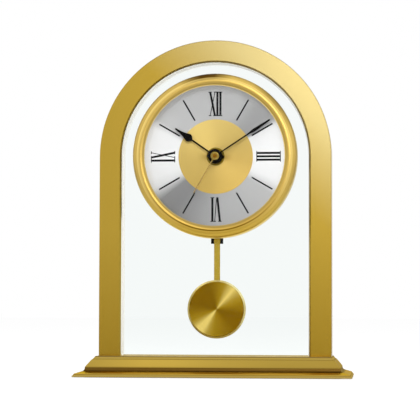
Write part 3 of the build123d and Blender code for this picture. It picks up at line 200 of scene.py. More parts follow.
table = flat_sheet("table", FLOOR_SIZE, FLOOR_SIZE, (0.0, 0.0, 0.0))
table_paint = bpy.data.materials.new("pale_table")
table_paint.use_nodes = True
sheet_tree = table_paint.node_tree
sheet_tree.nodes.clear()
sheet_matt = add_node(sheet_tree, "ShaderNodeBsdfDiffuse")
sheet_matt.inputs["Color"].default_value = FLOOR_WHITE
across, deep, tall = place_of(sheet_tree)
behind = share_between(sheet_tree, deep, *FLOOR_BEHIND)
gloss = calc(sheet_tree, "MAXIMUM", behind, FLOOR_GLOSS)
lift = calc(sheet_tree, "MULTIPLY", shown_rays(sheet_tree, gloss), FLOOR_LIFT)
sheet_glow = add_node(sheet_tree, "ShaderNodeEmission")
feed_all(sheet_tree, sheet_glow, Strength=lift)
sheet_sum = add_node(sheet_tree, "ShaderNodeAddShader")
sheet_out = add_node(sheet_tree, "ShaderNodeOutputMaterial")
feed(sheet_tree, sheet_sum.inputs[0], sheet_matt.outputs[0])
feed(sheet_tree, sheet_sum.inputs[1], sheet_glow.outputs[0])
feed(sheet_tree, sheet_out.inputs[0], sheet_sum.outputs[0])
table.data.materials.append(table_paint)

soft_lamp("key_lamp", KEY_PLACE, KEY_SIZE, KEY_POWER)
fill_lamp = soft_lamp("fill_lamp", FILL_PLACE, FILL_SIZE, FILL_POWER)
back_lamp = placed_lamp("back_lamp", "SPOT", BACK_PLACE, BACK_POWER)
back_lamp.data.spot_size = BACK_BEAM
back_lamp.data.spot_blend = BACK_BLEND
back_lamp.data.shadow_soft_size = BACK_SOFT
for lamp in (fill_lamp, back_lamp):
    lamp.data.use_shadow = False
    lamp.visible_glossy = False

dark_card = flat_sheet("dark_card", *CARD_SIZE, CARD_PLACE)
dark_card.visible_camera = False
dark_card.visible_diffuse = False
dark_card.visible_shadow = False
dark_card.visible_transmission = False
card_cloth = bpy.data.materials.new("dark_card_cloth")
card_cloth.use_nodes = True
card_surface = card_cloth.node_tree.nodes["Principled BSDF"]
feed_all(card_cloth.node_tree, card_surface, Base_Color=CARD_BLACK, Roughness=CARD_ROUGH)
dark_card.data.materials.append(card_cloth)

# The base is one hollow moulding in gold lacquered metal, with mitred corners. Fine lines from
# the finishing belt run along its length. Its gold is painted in bands by height: lighter on the
# faces as painted highlights, darker in the hollow and along the small steps as painted shade.
# Each tone stands at a height in millimetres.
MILLIMETRES = 1000.0
BASE_GOLD_PAINTED_LIGHT_AND_SHADE = (
    (0.0, (0.44, 0.305, 0.068)), (1.75, (0.44, 0.305, 0.068)), (2.05, (0.27, 0.155, 0.015)),
    (2.3, (0.27, 0.155, 0.015)), (2.6, (0.69, 0.460, 0.068)), (3.8, (0.69, 0.460, 0.068)),
    (4.2, (0.105, 0.045, 0.0)), (6.3, (0.095, 0.040, 0.0)), (6.9, (0.44, 0.285, 0.040)),
    (7.6, (0.585, 0.386, 0.058)), (11.7, (0.600, 0.406, 0.064)), (12.05, (0.22, 0.130, 0.012)),
    (12.5, (0.48, 0.335, 0.070)), (13.3, (0.46, 0.315, 0.060)), (13.45, (0.19, 0.125, 0.030)),
    (13.9, (0.19, 0.125, 0.030)), (13.97, (0.43, 0.310, 0.090)), (14.0, (0.43, 0.310, 0.090)),
)
BASE_PAINTED_SHEEN = (
    (-0.093, 0.74), (-0.077, 0.80), (-0.046, 0.99), (-0.025, 0.98), (0.0, 0.86), (0.042, 0.73),
    (0.093, 0.70),
)
BASE_EDGE = (1.0, 0.80, 0.34, 1.0)
BASE_MITRE = 0.0570
BASE_ROUGH = (0.24, 0.36)
END_PAINTED_SHADE = (0.10, 0.060, 0.004, 1.0)
END_SHARE = 0.3
END_ROUGHER = 0.2
FACE_FOOT = (0.0064, 0.0072)
FACE_HEAD = 0.0119
LINE_FINENESS = 2600.0
LINE_SLOWNESS = 0.012
LINE_DETAIL = 3.0
LINE_CRISPNESS = 0.65
LINE_RAISE = (0.10, 0.00004)
HAZE_SCALE = 38.0
HAZE_DETAIL = 2.0
STROKE_GOLD = (0.75, 0.58, 0.20, 1.0)
STROKE_SHARE = 0.10


def group_socket(group, name, kind, way, value=None):
    made = group.interface.new_socket(name=name, in_out=way, socket_type=kind)
    if value is not None:
        made.default_value = value


def vector_of(tree, first, second=0.0, third=0.0):
    made = add_node(tree, "ShaderNodeCombineXYZ")
    for socket, value in zip(made.inputs, (first, second, third)):
        feed(tree, socket, value)
    return made.outputs[0]


def noise(tree, spot, scale, detail):
    made = add_node(tree, "ShaderNodeTexNoise")
    feed_all(tree, made, Vector=spot, Scale=scale, Detail=detail)
    return made


def finishing_lines_group():
    """Fine parallel scratches: quick change across the stroke, slow change along it."""
    group = bpy.data.node_groups.new("finishing_lines", "ShaderNodeTree")
    group_socket(group, "Across", "NodeSocketFloat", "INPUT")
    group_socket(group, "Depth", "NodeSocketFloat", "INPUT")
    group_socket(group, "Along", "NodeSocketFloat", "INPUT")
    group_socket(group, "Fineness", "NodeSocketFloat", "INPUT", LINE_FINENESS)
    group_socket(group, "Lines", "NodeSocketFloat", "OUTPUT")
    group_socket(group, "Haze", "NodeSocketFloat", "OUTPUT")
    start = add_node(group, "NodeGroupInput").outputs
    end = add_node(group, "NodeGroupOutput")
    fine = start["Fineness"]
    slow = calc(group, "MULTIPLY", fine, LINE_SLOWNESS)
    stretched = vector_of(group, calc(group, "MULTIPLY", start["Across"], fine),
                          calc(group, "MULTIPLY", start["Depth"], fine),
                          calc(group, "MULTIPLY", start["Along"], slow))
    strokes = noise(group, stretched, 1.0, LINE_DETAIL)
    strokes.inputs["Roughness"].default_value = LINE_CRISPNESS
    plain = vector_of(group, start["Across"], start["Depth"], start["Along"])
    cloud = noise(group, plain, HAZE_SCALE, HAZE_DETAIL)
    feed_all(group, end, Lines=strokes.outputs["Fac"], Haze=cloud.outputs["Fac"])
    return group


finishing_lines = finishing_lines_group()


def finish(name):
    """A new material with one surface shader, and its tree."""
    made = bpy.data.materials.new(name)
    made.use_nodes = True
    tree = made.node_tree
    tree.nodes.clear()
    surface = add_node(tree, "ShaderNodeBsdfPrincipled")
    out = add_node(tree, "ShaderNodeOutputMaterial")
    tree.links.new(surface.outputs[0], out.inputs[0])
    return made, tree, surface


def spread(tree, value, low, high):
    """Takes a value from nought to one into a range."""
    made = add_node(tree, "ShaderNodeMapRange")
    feed_all(tree, made, Value=value, To_Min=low, To_Max=high)
    return made.outputs["Result"]


def blend_colour(tree, share, first, second, kind="MIX"):
    made = add_node(tree, "ShaderNodeMix", data_type="RGBA", blend_type=kind)
    feed(tree, made.inputs[0], share)
    feed(tree, made.inputs[6], first)
    feed(tree, made.inputs[7], second)
    return made.outputs[2]


def raised(tree, surface, height, strength, depth):
    made = add_node(tree, "ShaderNodeBump")
    feed_all(tree, made, Height=height, Strength=strength, Distance=depth)
    tree.links.new(made.outputs[0], surface.inputs["Normal"])


def dress(material, *node_names):
    for node_name in node_names:
        slots = nodes[node_name].data.materials
        slots.clear()
        slots.append(material)


def placed_group(tree, group, **values):
    made = add_node(tree, "ShaderNodeGroup", node_tree=group)
    feed_all(tree, made, **values)
    return made.outputs


def ramp_of_tones(tree, value, stops):
    """A colour ramp over a value, from the first stop's value to the last one's."""
    first = stops[0][0]
    last = stops[-1][0]
    ramp = add_node(tree, "ShaderNodeValToRGB")
    feed(tree, ramp.inputs[0], share_between(tree, value, first, last))
    points = ramp.color_ramp.elements
    while len(points) < len(stops):
        points.new(0.5)
    for point, (place, tone) in zip(points, stops):
        point.position = (place - first) / (last - first)
        point.color = (*tone, 1.0)
    return ramp.outputs["Color"]


def ramp_of_shares(tree, value, stops):
    """The same kind of ramp with one number at each stop."""
    return ramp_of_tones(tree, value, [(place, (share, share, share)) for place, share in stops])


base_gilt, tree, surface = finish("base_gilt")
across, deep, tall = place_of(tree)
lines = placed_group(tree, finishing_lines, Across=tall, Depth=deep, Along=across)
# Painted light and shade: the gold by height, lighter on the faces and darker in the hollow.
gold_painted_light_and_shade = ramp_of_tones(tree, calc(tree, "MULTIPLY", tall, MILLIMETRES), BASE_GOLD_PAINTED_LIGHT_AND_SHADE)
# Painted sheen: the face band is painted lighter a little left of the middle and darker towards the ends.
sheen = ramp_of_shares(tree, across, BASE_PAINTED_SHEEN)
below_head = calc(tree, "LESS_THAN", tall, FACE_HEAD)
on_face = calc(tree, "MULTIPLY", share_between(tree, tall, *FACE_FOOT), below_head)
polished = blend_colour(tree, on_face, gold_painted_light_and_shade, sheen, "MULTIPLY")
# Painted shade: the end faces past the mitres are painted darker.
past_mitre = calc(tree, "SUBTRACT", calc(tree, "ABSOLUTE", across), calc(tree, "ABSOLUTE", deep))
on_end = calc(tree, "GREATER_THAN", past_mitre, BASE_MITRE)
toned = blend_colour(tree, calc(tree, "MULTIPLY", on_end, END_SHARE), polished, END_PAINTED_SHADE)
bright_stroke = blend_colour(tree, STROKE_SHARE, toned, STROKE_GOLD)
haze = spread(tree, lines["Haze"], *BASE_ROUGH)
feed_all(tree, surface, Metallic=1.0, Specular_Tint=BASE_EDGE,
         Base_Color=blend_colour(tree, lines["Lines"], toned, bright_stroke),
         Roughness=calc(tree, "ADD", haze, calc(tree, "MULTIPLY", on_end, END_ROUGHER)))
raised(tree, surface, lines["Lines"], *LINE_RAISE)
dress(base_gilt, "base_plinth")

# Under the base a painted sheet cover is held by four zinc plated screws, and a black felt
# pad is glued over it so that the clock doesn't scratch the table.
# A fleck is the scale of its noise and two tones, a roughness the scale of its noise and its range.
COVER_GREY = (0.030, 0.031, 0.034, 1.0)
COVER_ROUGH = (900.0, 0.45, 0.62)
COVER_GRAIN = 2500.0
COVER_RAISE = (0.15, 0.00005)
FELT_GRAIN = (1400.0, 6.0)
FELT_BLACK = (0.012, 0.012, 0.014, 1.0)
FELT_LINT = (0.045, 0.045, 0.050, 1.0)
FELT_RAISE = (0.6, 0.0003)
ZINC_FLECK = (700.0, (0.52, 0.53, 0.54, 1.0), (0.36, 0.36, 0.36, 1.0))
ZINC_ROUGH = (1800.0, 0.28, 0.45)


def grain(tree, scale, detail=2.0):
    """Even noise over a piece."""
    spot = add_node(tree, "ShaderNodeTexCoord")
    return noise(tree, spot.outputs["Object"], scale, detail).outputs["Fac"]


def flecked(tree, scale, first, second):
    """One tone flecked with another."""
    return blend_colour(tree, grain(tree, scale), first, second)


def uneven(tree, scale, low, high):
    """A roughness that wanders within a range."""
    return spread(tree, grain(tree, scale), low, high)


cover_paint, tree, surface = finish("cover_paint")
feed_all(tree, surface, Base_Color=COVER_GREY, Roughness=uneven(tree, *COVER_ROUGH))
raised(tree, surface, grain(tree, COVER_GRAIN), *COVER_RAISE)
dress(cover_paint, "base_cover")

felt, tree, surface = finish("pressed_felt")
lint = grain(tree, *FELT_GRAIN)
feed_all(tree, surface, Base_Color=blend_colour(tree, lint, FELT_BLACK, FELT_LINT), Roughness=0.95,
         Sheen_Weight=0.4)
raised(tree, surface, lint, *FELT_RAISE)
dress(felt, "base_pad")

zinc, tree, surface = finish("zinc_plate")
feed_all(tree, surface, Base_Color=flecked(tree, *ZINC_FLECK), Metallic=1.0,
         Roughness=uneven(tree, *ZINC_ROUGH))
dress(zinc, "base_cover_screws", "frame_screws", "hanger_pin")

# The arch is one gold lacquered band, bent over and bevelled on its edges. Its finishing lines
# follow the bend, up one post, over the top and down the other. Its gold is painted darker towards
# the feet and paler over the top towards the right, as painted shade and a painted highlight. The
# left post's inner bevel has a painted dark reflection. Its inner wall is polished, and painted
# near white as a painted reflection of the white room.
HEAD_Z = 0.1495
ARCH_GOLD_PAINTED_SHADE_FOOT = (0.350, 0.208, 0.002, 1.0)
ARCH_GOLD_POST = (0.440, 0.282, 0.020, 1.0)
ARCH_GOLD_PAINTED_HIGHLIGHT_CROWN = (0.510, 0.405, 0.160, 1.0)
POST_FADE = (0.02, 0.10)
CROWN_LEAN = 0.9
CROWN_FADE = (0.168, 0.235)
ARCH_INNER = 0.0638
INNER_BEVEL = ARCH_INNER + 0.0014
INNER_WALL = ARCH_INNER + 0.0002
INNER_EDGE_PAINTED_DARK = (0.42, 0.290, 0.030, 1.0)
INNER_PAINTED_REFLECTION = (0.95, 0.93, 0.82, 1.0)
INNER_POLISH = 0.8
ARCH_ROUGH = (0.25, 0.28)

arch_gilt, tree, surface = finish("arch_gilt")
across, deep, tall = place_of(tree)
above = calc(tree, "MAXIMUM", calc(tree, "SUBTRACT", tall, HEAD_Z), 0.0)
wide = calc(tree, "MULTIPLY", across, across)
reach = calc(tree, "SQRT", calc(tree, "ADD", wide, calc(tree, "MULTIPLY", above, above)))
lines = placed_group(tree, finishing_lines, Across=reach, Depth=deep, Along=tall)
# Painted shade and highlight: darker towards the feet, paler over the top towards the right.
post_tone = blend_colour(tree, share_between(tree, tall, *POST_FADE), ARCH_GOLD_PAINTED_SHADE_FOOT, ARCH_GOLD_POST)
leaning = calc(tree, "ADD", tall, calc(tree, "MULTIPLY", across, CROWN_LEAN))
tone = blend_colour(tree, share_between(tree, leaning, *CROWN_FADE), post_tone, ARCH_GOLD_PAINTED_HIGHLIGHT_CROWN)
bright_stroke = blend_colour(tree, STROKE_SHARE, tone, STROKE_GOLD)
stroked = blend_colour(tree, lines["Lines"], tone, bright_stroke)
# Painted reflection: the left post's inner bevel is painted dark brown.
on_left = calc(tree, "LESS_THAN", across, 0.0)
on_left_post = calc(tree, "MULTIPLY", on_left, calc(tree, "LESS_THAN", tall, HEAD_Z))
left_bevel = calc(tree, "MULTIPLY", calc(tree, "LESS_THAN", reach, INNER_BEVEL), on_left_post)
bevelled = blend_colour(tree, left_bevel, stroked, INNER_EDGE_PAINTED_DARK)
# Painted reflection: the inner wall is painted near white, as if mirroring the white room.
inside = calc(tree, "LESS_THAN", reach, INNER_WALL)
unpolished = calc(tree, "SUBTRACT", 1.0, calc(tree, "MULTIPLY", inside, INNER_POLISH))
feed_all(tree, surface, Base_Color=blend_colour(tree, inside, bevelled, INNER_PAINTED_REFLECTION), Metallic=1.0,
         Roughness=calc(tree, "MULTIPLY", spread(tree, lines["Haze"], *ARCH_ROUGH), unpolished),
         Coat_Weight=0.3, Coat_Roughness=0.25)
raised(tree, surface, lines["Lines"], *LINE_RAISE)
dress(arch_gilt, "arch_frame")

# The pane is clear float glass with a half-round top, standing in a slot in the base. A thin milky
# strip beds it in the arch's groove, with a flat bead of sealant in front. Both glow faintly, a
# painted light that brightens them, though they are no lamp.
GLASS_TINT = (0.915, 0.948, 0.938, 1.0)
GLASS_SHINE = (0.06, 0.06, 0.06, 1.0)
GLASS_IOR = 1.45
PANE_ROUGH = (30.0, 0.0, 0.012)
HAIR_GAP = 0.00004
STRIP_MILK = (0.95, 0.95, 0.91, 1.0)
STRIP_PAINTED_GLOW = 0.22
STRIP_ROUGH = (500.0, 0.35, 0.5)
BASE_TOP = 0.0140
PANE_FRONT = -0.0020
BEAD_PROFILE = (
    (0.00001, 0.00001), (0.00001, 0.00028), (0.0003, 0.00024), (0.0006, 0.00012), (0.0007, 0.00001),
)
BEAD_STEPS = 48


def moved_skin(node_name, modifier_name, depth):
    """Moves a piece's whole surface outwards, or inwards where the depth is below nought."""
    moved = nodes[node_name].modifiers.new(modifier_name, "DISPLACE")
    moved.mid_level = 0.0
    moved.strength = depth


def clear_glass(material_name, node_name, tint, roughness):
    """Glass with weak reflections, and a hair of air round it so that light reaches what it touches."""
    glass, tree, surface = finish(material_name)
    feed_all(tree, surface, Base_Color=tint, Transmission_Weight=1.0, IOR=GLASS_IOR,
             Specular_Tint=GLASS_SHINE, Roughness=uneven(tree, *roughness))
    dress(glass, node_name)
    nodes[node_name].visible_shadow = False
    moved_skin(node_name, "fitting_gap", -HAIR_GAP)


def join_loops(work, loop, following):
    """Faces between two closed loops of corners."""
    for i in range(len(loop)):
        j = (i + 1) % len(loop)
        work.faces.new((loop[i], loop[j], following[j], following[i]))


def finished_piece(name, work, material):
    """Closes the work on a mesh and puts it in the scene in one material."""
    bmesh.ops.recalc_face_normals(work, faces=work.faces)
    mesh = bpy.data.meshes.new(name)
    work.to_mesh(mesh)
    work.free()
    mesh.materials.append(material)
    return in_scene(name, mesh)


clear_glass("float_glass", "glass_pane", GLASS_TINT, PANE_ROUGH)

milky_strip, tree, surface = finish("milky_strip")
# Painted light: the strip and the bead glow faintly, though they are no lamp.
feed_all(tree, surface, Base_Color=STRIP_MILK, Emission_Color=STRIP_MILK, Emission_Strength=STRIP_PAINTED_GLOW,
         Roughness=uneven(tree, *STRIP_ROUGH))
dress(milky_strip, "glazing_gasket")

around = [(-1.0, 0.0, BASE_TOP)]
for step in range(BEAD_STEPS + 1):
    bend = math.pi * step / BEAD_STEPS
    around.append((-math.cos(bend), math.sin(bend), HEAD_Z))
around.append((1.0, 0.0, BASE_TOP))
work = bmesh.new()
hoops = []
for side, up, level in around:
    hoop = []
    for inward, forward in BEAD_PROFILE:
        far = ARCH_INNER - inward
        hoop.append(work.verts.new((side * far, PANE_FRONT - forward, level + up * far)))
    hoops.append(hoop)
for hoop, following in zip(hoops, hoops[1:]):
    join_loops(work, hoop, following)
work.faces.new(hoops[0][::-1])
work.faces.new(hoops[-1])
pane_bead = finished_piece("pane_bead", work, milky_strip)
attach(pane_bead, "case")

# The dial sits in a shallow white pan. It is a silver disc spun on a lathe and lacquered clear. Its
# silver is painted lighter and darker in fans round the middle, a painted sheen of the light on it.
# A fan is a row of clock angles in degrees, each with its tone or share.
PAN_WHITE = (0.80, 0.80, 0.78, 1.0)
PAN_ROUGH = (800.0, 0.42, 0.58)
HEAD_CENTRE = (0.0, 0.0, HEAD_Z)
RING_TURNS = 9.0
RING_DETAIL = 3.0
DIAL_RINGS = 4200.0
DIAL_RING_GREY = (0.62, 0.62, 0.63, 1.0)
DIAL_RING_SHARE = 0.16
DIAL_ROUGH = (0.32, 0.42)
DIAL_PULL = 0.3
DIAL_RAISE = (0.08, 0.00003)
DIAL_PAINTED_SHEEN = (
    (0.0, 0.44), (20.0, 0.44), (30.0, 0.40), (40.0, 0.33), (50.0, 0.31), (57.0, 0.38), (62.0, 0.86),
    (88.0, 0.90), (112.0, 0.82), (124.0, 0.45), (155.0, 0.43), (178.0, 0.41), (206.0, 0.28), (218.0, 0.22),
    (232.0, 0.25), (243.0, 0.80), (251.0, 0.92), (270.0, 0.96), (294.0, 0.91), (303.0, 0.54), (318.0, 0.49),
    (340.0, 0.45), (360.0, 0.44),
)


def spun_rings_group():
    """Marks of a lathe round a centre: the rings themselves, the radius and the clock angle in turns."""
    group = bpy.data.node_groups.new("spun_rings", "ShaderNodeTree")
    group_socket(group, "Centre", "NodeSocketVector", "INPUT")
    group_socket(group, "Fineness", "NodeSocketFloat", "INPUT", DIAL_RINGS)
    group_socket(group, "Rings", "NodeSocketFloat", "OUTPUT")
    group_socket(group, "Radius", "NodeSocketFloat", "OUTPUT")
    group_socket(group, "Turn", "NodeSocketFloat", "OUTPUT")
    start = add_node(group, "NodeGroupInput").outputs
    end = add_node(group, "NodeGroupOutput")
    spot = add_node(group, "ShaderNodeTexCoord")
    offset = add_node(group, "ShaderNodeVectorMath", operation="SUBTRACT")
    group.links.new(spot.outputs["Object"], offset.inputs[0])
    group.links.new(start["Centre"], offset.inputs[1])
    parts = add_node(group, "ShaderNodeSeparateXYZ")
    group.links.new(offset.outputs[0], parts.inputs[0])
    side = parts.outputs[0]
    up = parts.outputs[2]
    squares = calc(group, "ADD", calc(group, "MULTIPLY", side, side), calc(group, "MULTIPLY", up, up))
    radius = calc(group, "SQRT", squares)
    angle = calc(group, "DIVIDE", calc(group, "ARCTAN2", side, up), 2 * math.pi)
    turn = calc(group, "FRACT", calc(group, "ADD", angle, 1.0))
    stretched = vector_of(group, calc(group, "MULTIPLY", radius, start["Fineness"]),
                          calc(group, "MULTIPLY", calc(group, "ABSOLUTE", angle), RING_TURNS))
    marks = noise(group, stretched, 1.0, RING_DETAIL)
    feed_all(group, end, Rings=marks.outputs["Fac"], Radius=radius, Turn=turn)
    return group


spun_rings = spun_rings_group()


def fan_of(tree, turn, stops):
    """Shares round the clock, with each stop in degrees from twelve."""
    return ramp_of_shares(tree, turn, [(angle / 360.0, share) for angle, share in stops])


def spun_sheen(tree, surface, marks, pull, strength, depth):
    """Draws highlights out across the lathe's rings, and cuts the rings a little way in."""
    sweep = add_node(tree, "ShaderNodeTangent", direction_type="RADIAL", axis="Y")
    feed_all(tree, surface, Anisotropic=pull, Tangent=sweep.outputs[0])
    raised(tree, surface, marks, strength, depth)


pan_plastic, tree, surface = finish("pan_plastic")
feed_all(tree, surface, Base_Color=PAN_WHITE, Roughness=uneven(tree, *PAN_ROUGH))
dress(pan_plastic, "dial_pan")

spun_silver, tree, surface = finish("spun_silver")
rings = placed_group(tree, spun_rings, Centre=HEAD_CENTRE, Fineness=DIAL_RINGS)
# Painted sheen: the silver is painted lighter and darker in fans round the middle.
fan = fan_of(tree, rings["Turn"], DIAL_PAINTED_SHEEN)
ring_share = spread(tree, rings["Rings"], 0.0, DIAL_RING_SHARE)
feed_all(tree, surface, Base_Color=blend_colour(tree, ring_share, fan, DIAL_RING_GREY), Metallic=0.35,
         Roughness=spread(tree, rings["Rings"], *DIAL_ROUGH), Specular_IOR_Level=0.2)
spun_sheen(tree, surface, rings["Rings"], DIAL_PULL, *DIAL_RAISE)
dress(spun_silver, "dial_plate")

# A thinner gold disc, spun the same way, is laid on the middle of the dial. Its gold is a little paler
# towards the top, with painted sheen in fans round the middle and painted brown reflections of the
# nut's lugs. A gold washer under the nut spreads its pressure; its gold is painted dark as painted shade.
DISC_RADIUS = 0.0255
DISC_GOLD_TOP = (0.60, 0.43, 0.125, 1.0)
DISC_GOLD_LOW = (0.58, 0.385, 0.090, 1.0)
DISC_PAINTED_SHEEN = (
    (0.0, 0.62), (40.0, 0.60), (72.0, 0.52), (100.0, 0.44), (128.0, 0.52), (180.0, 0.56), (235.0, 0.64),
    (262.0, 0.62), (290.0, 0.68), (320.0, 0.70), (360.0, 0.62),
)
DISC_FAN_SHARE = 0.55
DISC_ROUGH = (0.28, 0.40)
DISC_PULL = 0.5
LUG_FAN = (
    (0.0, 0.0), (72.0, 0.0), (88.0, 0.5), (98.0, 0.5), (118.0, 0.0), (240.0, 0.0), (262.0, 0.55),
    (274.0, 0.55), (290.0, 0.0), (360.0, 0.0),
)
LUG_FADE = (0.0125, 0.0060)
LUG_PAINTED_REFLECTION = (0.30, 0.165, 0.020, 1.0)
WASHER_GOLD_PAINTED_SHADE = (0.125, 0.078, 0.005, 1.0)
WASHER_BRIGHT = (0.20, 0.135, 0.018, 1.0)
WASHER_RINGS = 6000.0

spun_gold, tree, surface = finish("spun_gold")
rings = placed_group(tree, spun_rings, Centre=HEAD_CENTRE, Fineness=DIAL_RINGS)
across, deep, tall = place_of(tree)
level = share_between(tree, tall, HEAD_Z - DISC_RADIUS, HEAD_Z + DISC_RADIUS)
tone = blend_colour(tree, level, DISC_GOLD_LOW, DISC_GOLD_TOP)
# Painted sheen: the gold is painted lighter and darker in fans round the middle.
fanned = blend_colour(tree, DISC_FAN_SHARE, tone, fan_of(tree, rings["Turn"], DISC_PAINTED_SHEEN), "SOFT_LIGHT")
near_hub = share_between(tree, rings["Radius"], *LUG_FADE)
# Painted reflection: the nut's lugs, painted brown on the disc beside the hub.
mirrored = calc(tree, "MULTIPLY", fan_of(tree, rings["Turn"], LUG_FAN), near_hub)
feed_all(tree, surface, Base_Color=blend_colour(tree, mirrored, fanned, LUG_PAINTED_REFLECTION), Metallic=0.5,
         Roughness=spread(tree, rings["Rings"], *DISC_ROUGH), Specular_IOR_Level=0.2)
spun_sheen(tree, surface, rings["Rings"], DISC_PULL, *DIAL_RAISE)
dress(spun_gold, "dial_centre")

washer_gold, tree, surface = finish("washer_gold")
rings = placed_group(tree, spun_rings, Centre=HEAD_CENTRE, Fineness=WASHER_RINGS)
# Painted shade: the washer's gold is painted dark, for the shade of the hands over it.
feed_all(tree, surface, Base_Color=blend_colour(tree, rings["Rings"], WASHER_GOLD_PAINTED_SHADE, WASHER_BRIGHT),
         Metallic=1.0, Roughness=0.35)
dress(washer_gold, "dial_washer")

# The hour marks are printed in thick black ink: a baton at each hour between the quarters.
# Each stands a hair proud of the dial.
INK_PROUD = 0.00005
INK_FLECK = (3000.0, (0.006, 0.006, 0.007, 1.0), (0.012, 0.012, 0.013, 1.0))
DIAL_FACE = -0.0036
BATON_INNER = 0.0285
BATON_OUTER = 0.0448
BATON_WIDTH = 0.00105

ink, tree, surface = finish("dial_ink")
feed_all(tree, surface, Base_Color=flecked(tree, *INK_FLECK), Roughness=0.5, Specular_IOR_Level=0.08)


def hour_batons_tree():
    """Batons round a ring of twelve hours, with every third one left out for a numeral."""
    tree = bpy.data.node_groups.new("hour_batons", "GeometryNodeTree")
    group_socket(tree, "Hours", "NodeSocketInt", "INPUT", 12)
    group_socket(tree, "Numeral Step", "NodeSocketInt", "INPUT", 3)
    group_socket(tree, "Inner Radius", "NodeSocketFloat", "INPUT", BATON_INNER)
    group_socket(tree, "Outer Radius", "NodeSocketFloat", "INPUT", BATON_OUTER)
    group_socket(tree, "Width", "NodeSocketFloat", "INPUT", BATON_WIDTH)
    group_socket(tree, "Thickness", "NodeSocketFloat", "INPUT", INK_PROUD)
    group_socket(tree, "Ink", "NodeSocketMaterial", "INPUT")
    group_socket(tree, "Geometry", "NodeSocketGeometry", "OUTPUT")
    start = add_node(tree, "NodeGroupInput").outputs
    end = add_node(tree, "NodeGroupOutput")
    both = calc(tree, "ADD", start["Inner Radius"], start["Outer Radius"])
    length = calc(tree, "SUBTRACT", start["Outer Radius"], start["Inner Radius"])
    ring = add_node(tree, "GeometryNodeMeshCircle")
    feed_all(tree, ring, Vertices=start["Hours"], Radius=calc(tree, "MULTIPLY", both, 0.5))
    index = add_node(tree, "GeometryNodeInputIndex").outputs[0]
    between = add_node(tree, "FunctionNodeCompare", data_type="FLOAT", operation="GREATER_THAN")
    feed(tree, between.inputs[0], calc(tree, "MODULO", index, start["Numeral Step"]))
    feed(tree, between.inputs[1], 0.5)
    baton = add_node(tree, "GeometryNodeMeshCube")
    feed_all(tree, baton, Size=vector_of(tree, length, start["Width"], start["Thickness"]))
    turn = calc(tree, "DIVIDE", calc(tree, "MULTIPLY", index, 2 * math.pi), start["Hours"])
    set_round = add_node(tree, "GeometryNodeInstanceOnPoints")
    feed_all(tree, set_round, Points=ring.outputs[0], Selection=between.outputs[0],
             Instance=baton.outputs[0], Rotation=vector_of(tree, 0.0, 0.0, turn))
    real = add_node(tree, "GeometryNodeRealizeInstances")
    feed(tree, real.inputs[0], set_round.outputs[0])
    painted = add_node(tree, "GeometryNodeSetMaterial")
    feed_all(tree, painted, Geometry=real.outputs[0], Material=start["Ink"])
    feed(tree, end.inputs[0], painted.outputs[0])
    return tree


def grown(name, tree, values, place):
    """Runs a geometry tree with named inputs and keeps the result as a plain mesh at its place."""
    seed = in_scene(name + "_seed", bpy.data.meshes.new(name + "_seed"))
    modifier = seed.modifiers.new("grow", "NODES")
    modifier.node_group = tree
    for item in tree.interface.items_tree:
        if item.in_out == "INPUT" and item.name in values:
            modifier[item.identifier] = values[item.name]
    bpy.context.view_layer.update()
    shown = seed.evaluated_get(bpy.context.evaluated_depsgraph_get())
    mesh = bpy.data.meshes.new_from_object(shown)
    bpy.data.objects.remove(seed)
    mesh.transform(place)
    mesh.name = name
    return in_scene(name, mesh)


FACE_FRONT = Matrix.Rotation(math.radians(90.0), 4, "X")
ink_place = Matrix.Translation((0.0, DIAL_FACE - INK_PROUD / 2, HEAD_Z)) @ FACE_FRONT
batons = grown("hour_batons", hour_batons_tree(), {"Ink": ink}, ink_place)
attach(batons, "case")

# The quarter hours are Roman numerals in the same ink, tall and narrow, with thick and thin
# strokes and flat serifs. Their feet point to the middle of the dial.
NUMERAL_FOOT = 0.0278
NUMERAL_HEAD = 0.0445
THICK_STROKE = 0.00145
THIN_STROKE = 0.00050
SERIF = 0.00058
SERIF_REACH = 0.00062
THICK_SERIF = 0.7
X_WIDTH = 0.0034
V_WIDTH = 0.0036
TWELVE_X = -0.0022
TWELVE_BARS = (0.0011, 0.0032)
THREE_BARS = (-0.0023, 0.0, 0.0023)
SIX_V = -0.0012
SIX_BAR = 0.0022
NINE_BAR = -0.0025
NINE_X = 0.0012


def oblong(middle, level, wide, high):
    """The four corners of an upright oblong about its middle."""
    left = middle - wide / 2
    right = middle + wide / 2
    foot = level - high / 2
    head = level + high / 2
    return [(left, foot), (right, foot), (right, head), (left, head)]


def slanted(foot_x, head_x, width):
    """A stroke from the numeral's foot to its head, cut level at both ends."""
    half = width / 2
    return [(foot_x - half, NUMERAL_FOOT), (foot_x + half, NUMERAL_FOOT),
            (head_x + half, NUMERAL_HEAD), (head_x - half, NUMERAL_HEAD)]


def head_serif(middle, reach):
    return oblong(middle, NUMERAL_HEAD - SERIF / 2, 2 * reach, SERIF)


def foot_serif(middle, reach):
    return oblong(middle, NUMERAL_FOOT + SERIF / 2, 2 * reach, SERIF)


def bar(middle):
    reach = THICK_STROKE / 2 + SERIF_REACH
    return [slanted(middle, middle, THICK_STROKE), head_serif(middle, reach), foot_serif(middle, reach)]


def cross(middle):
    left = middle - X_WIDTH / 2
    right = middle + X_WIDTH / 2
    thick = THICK_STROKE / 2 + SERIF_REACH * THICK_SERIF
    thin = THIN_STROKE / 2 + SERIF_REACH
    return [slanted(right, left, THICK_STROKE), slanted(left, right, THIN_STROKE), head_serif(left, thick),
            foot_serif(right, thick), head_serif(right, thin), foot_serif(left, thin)]


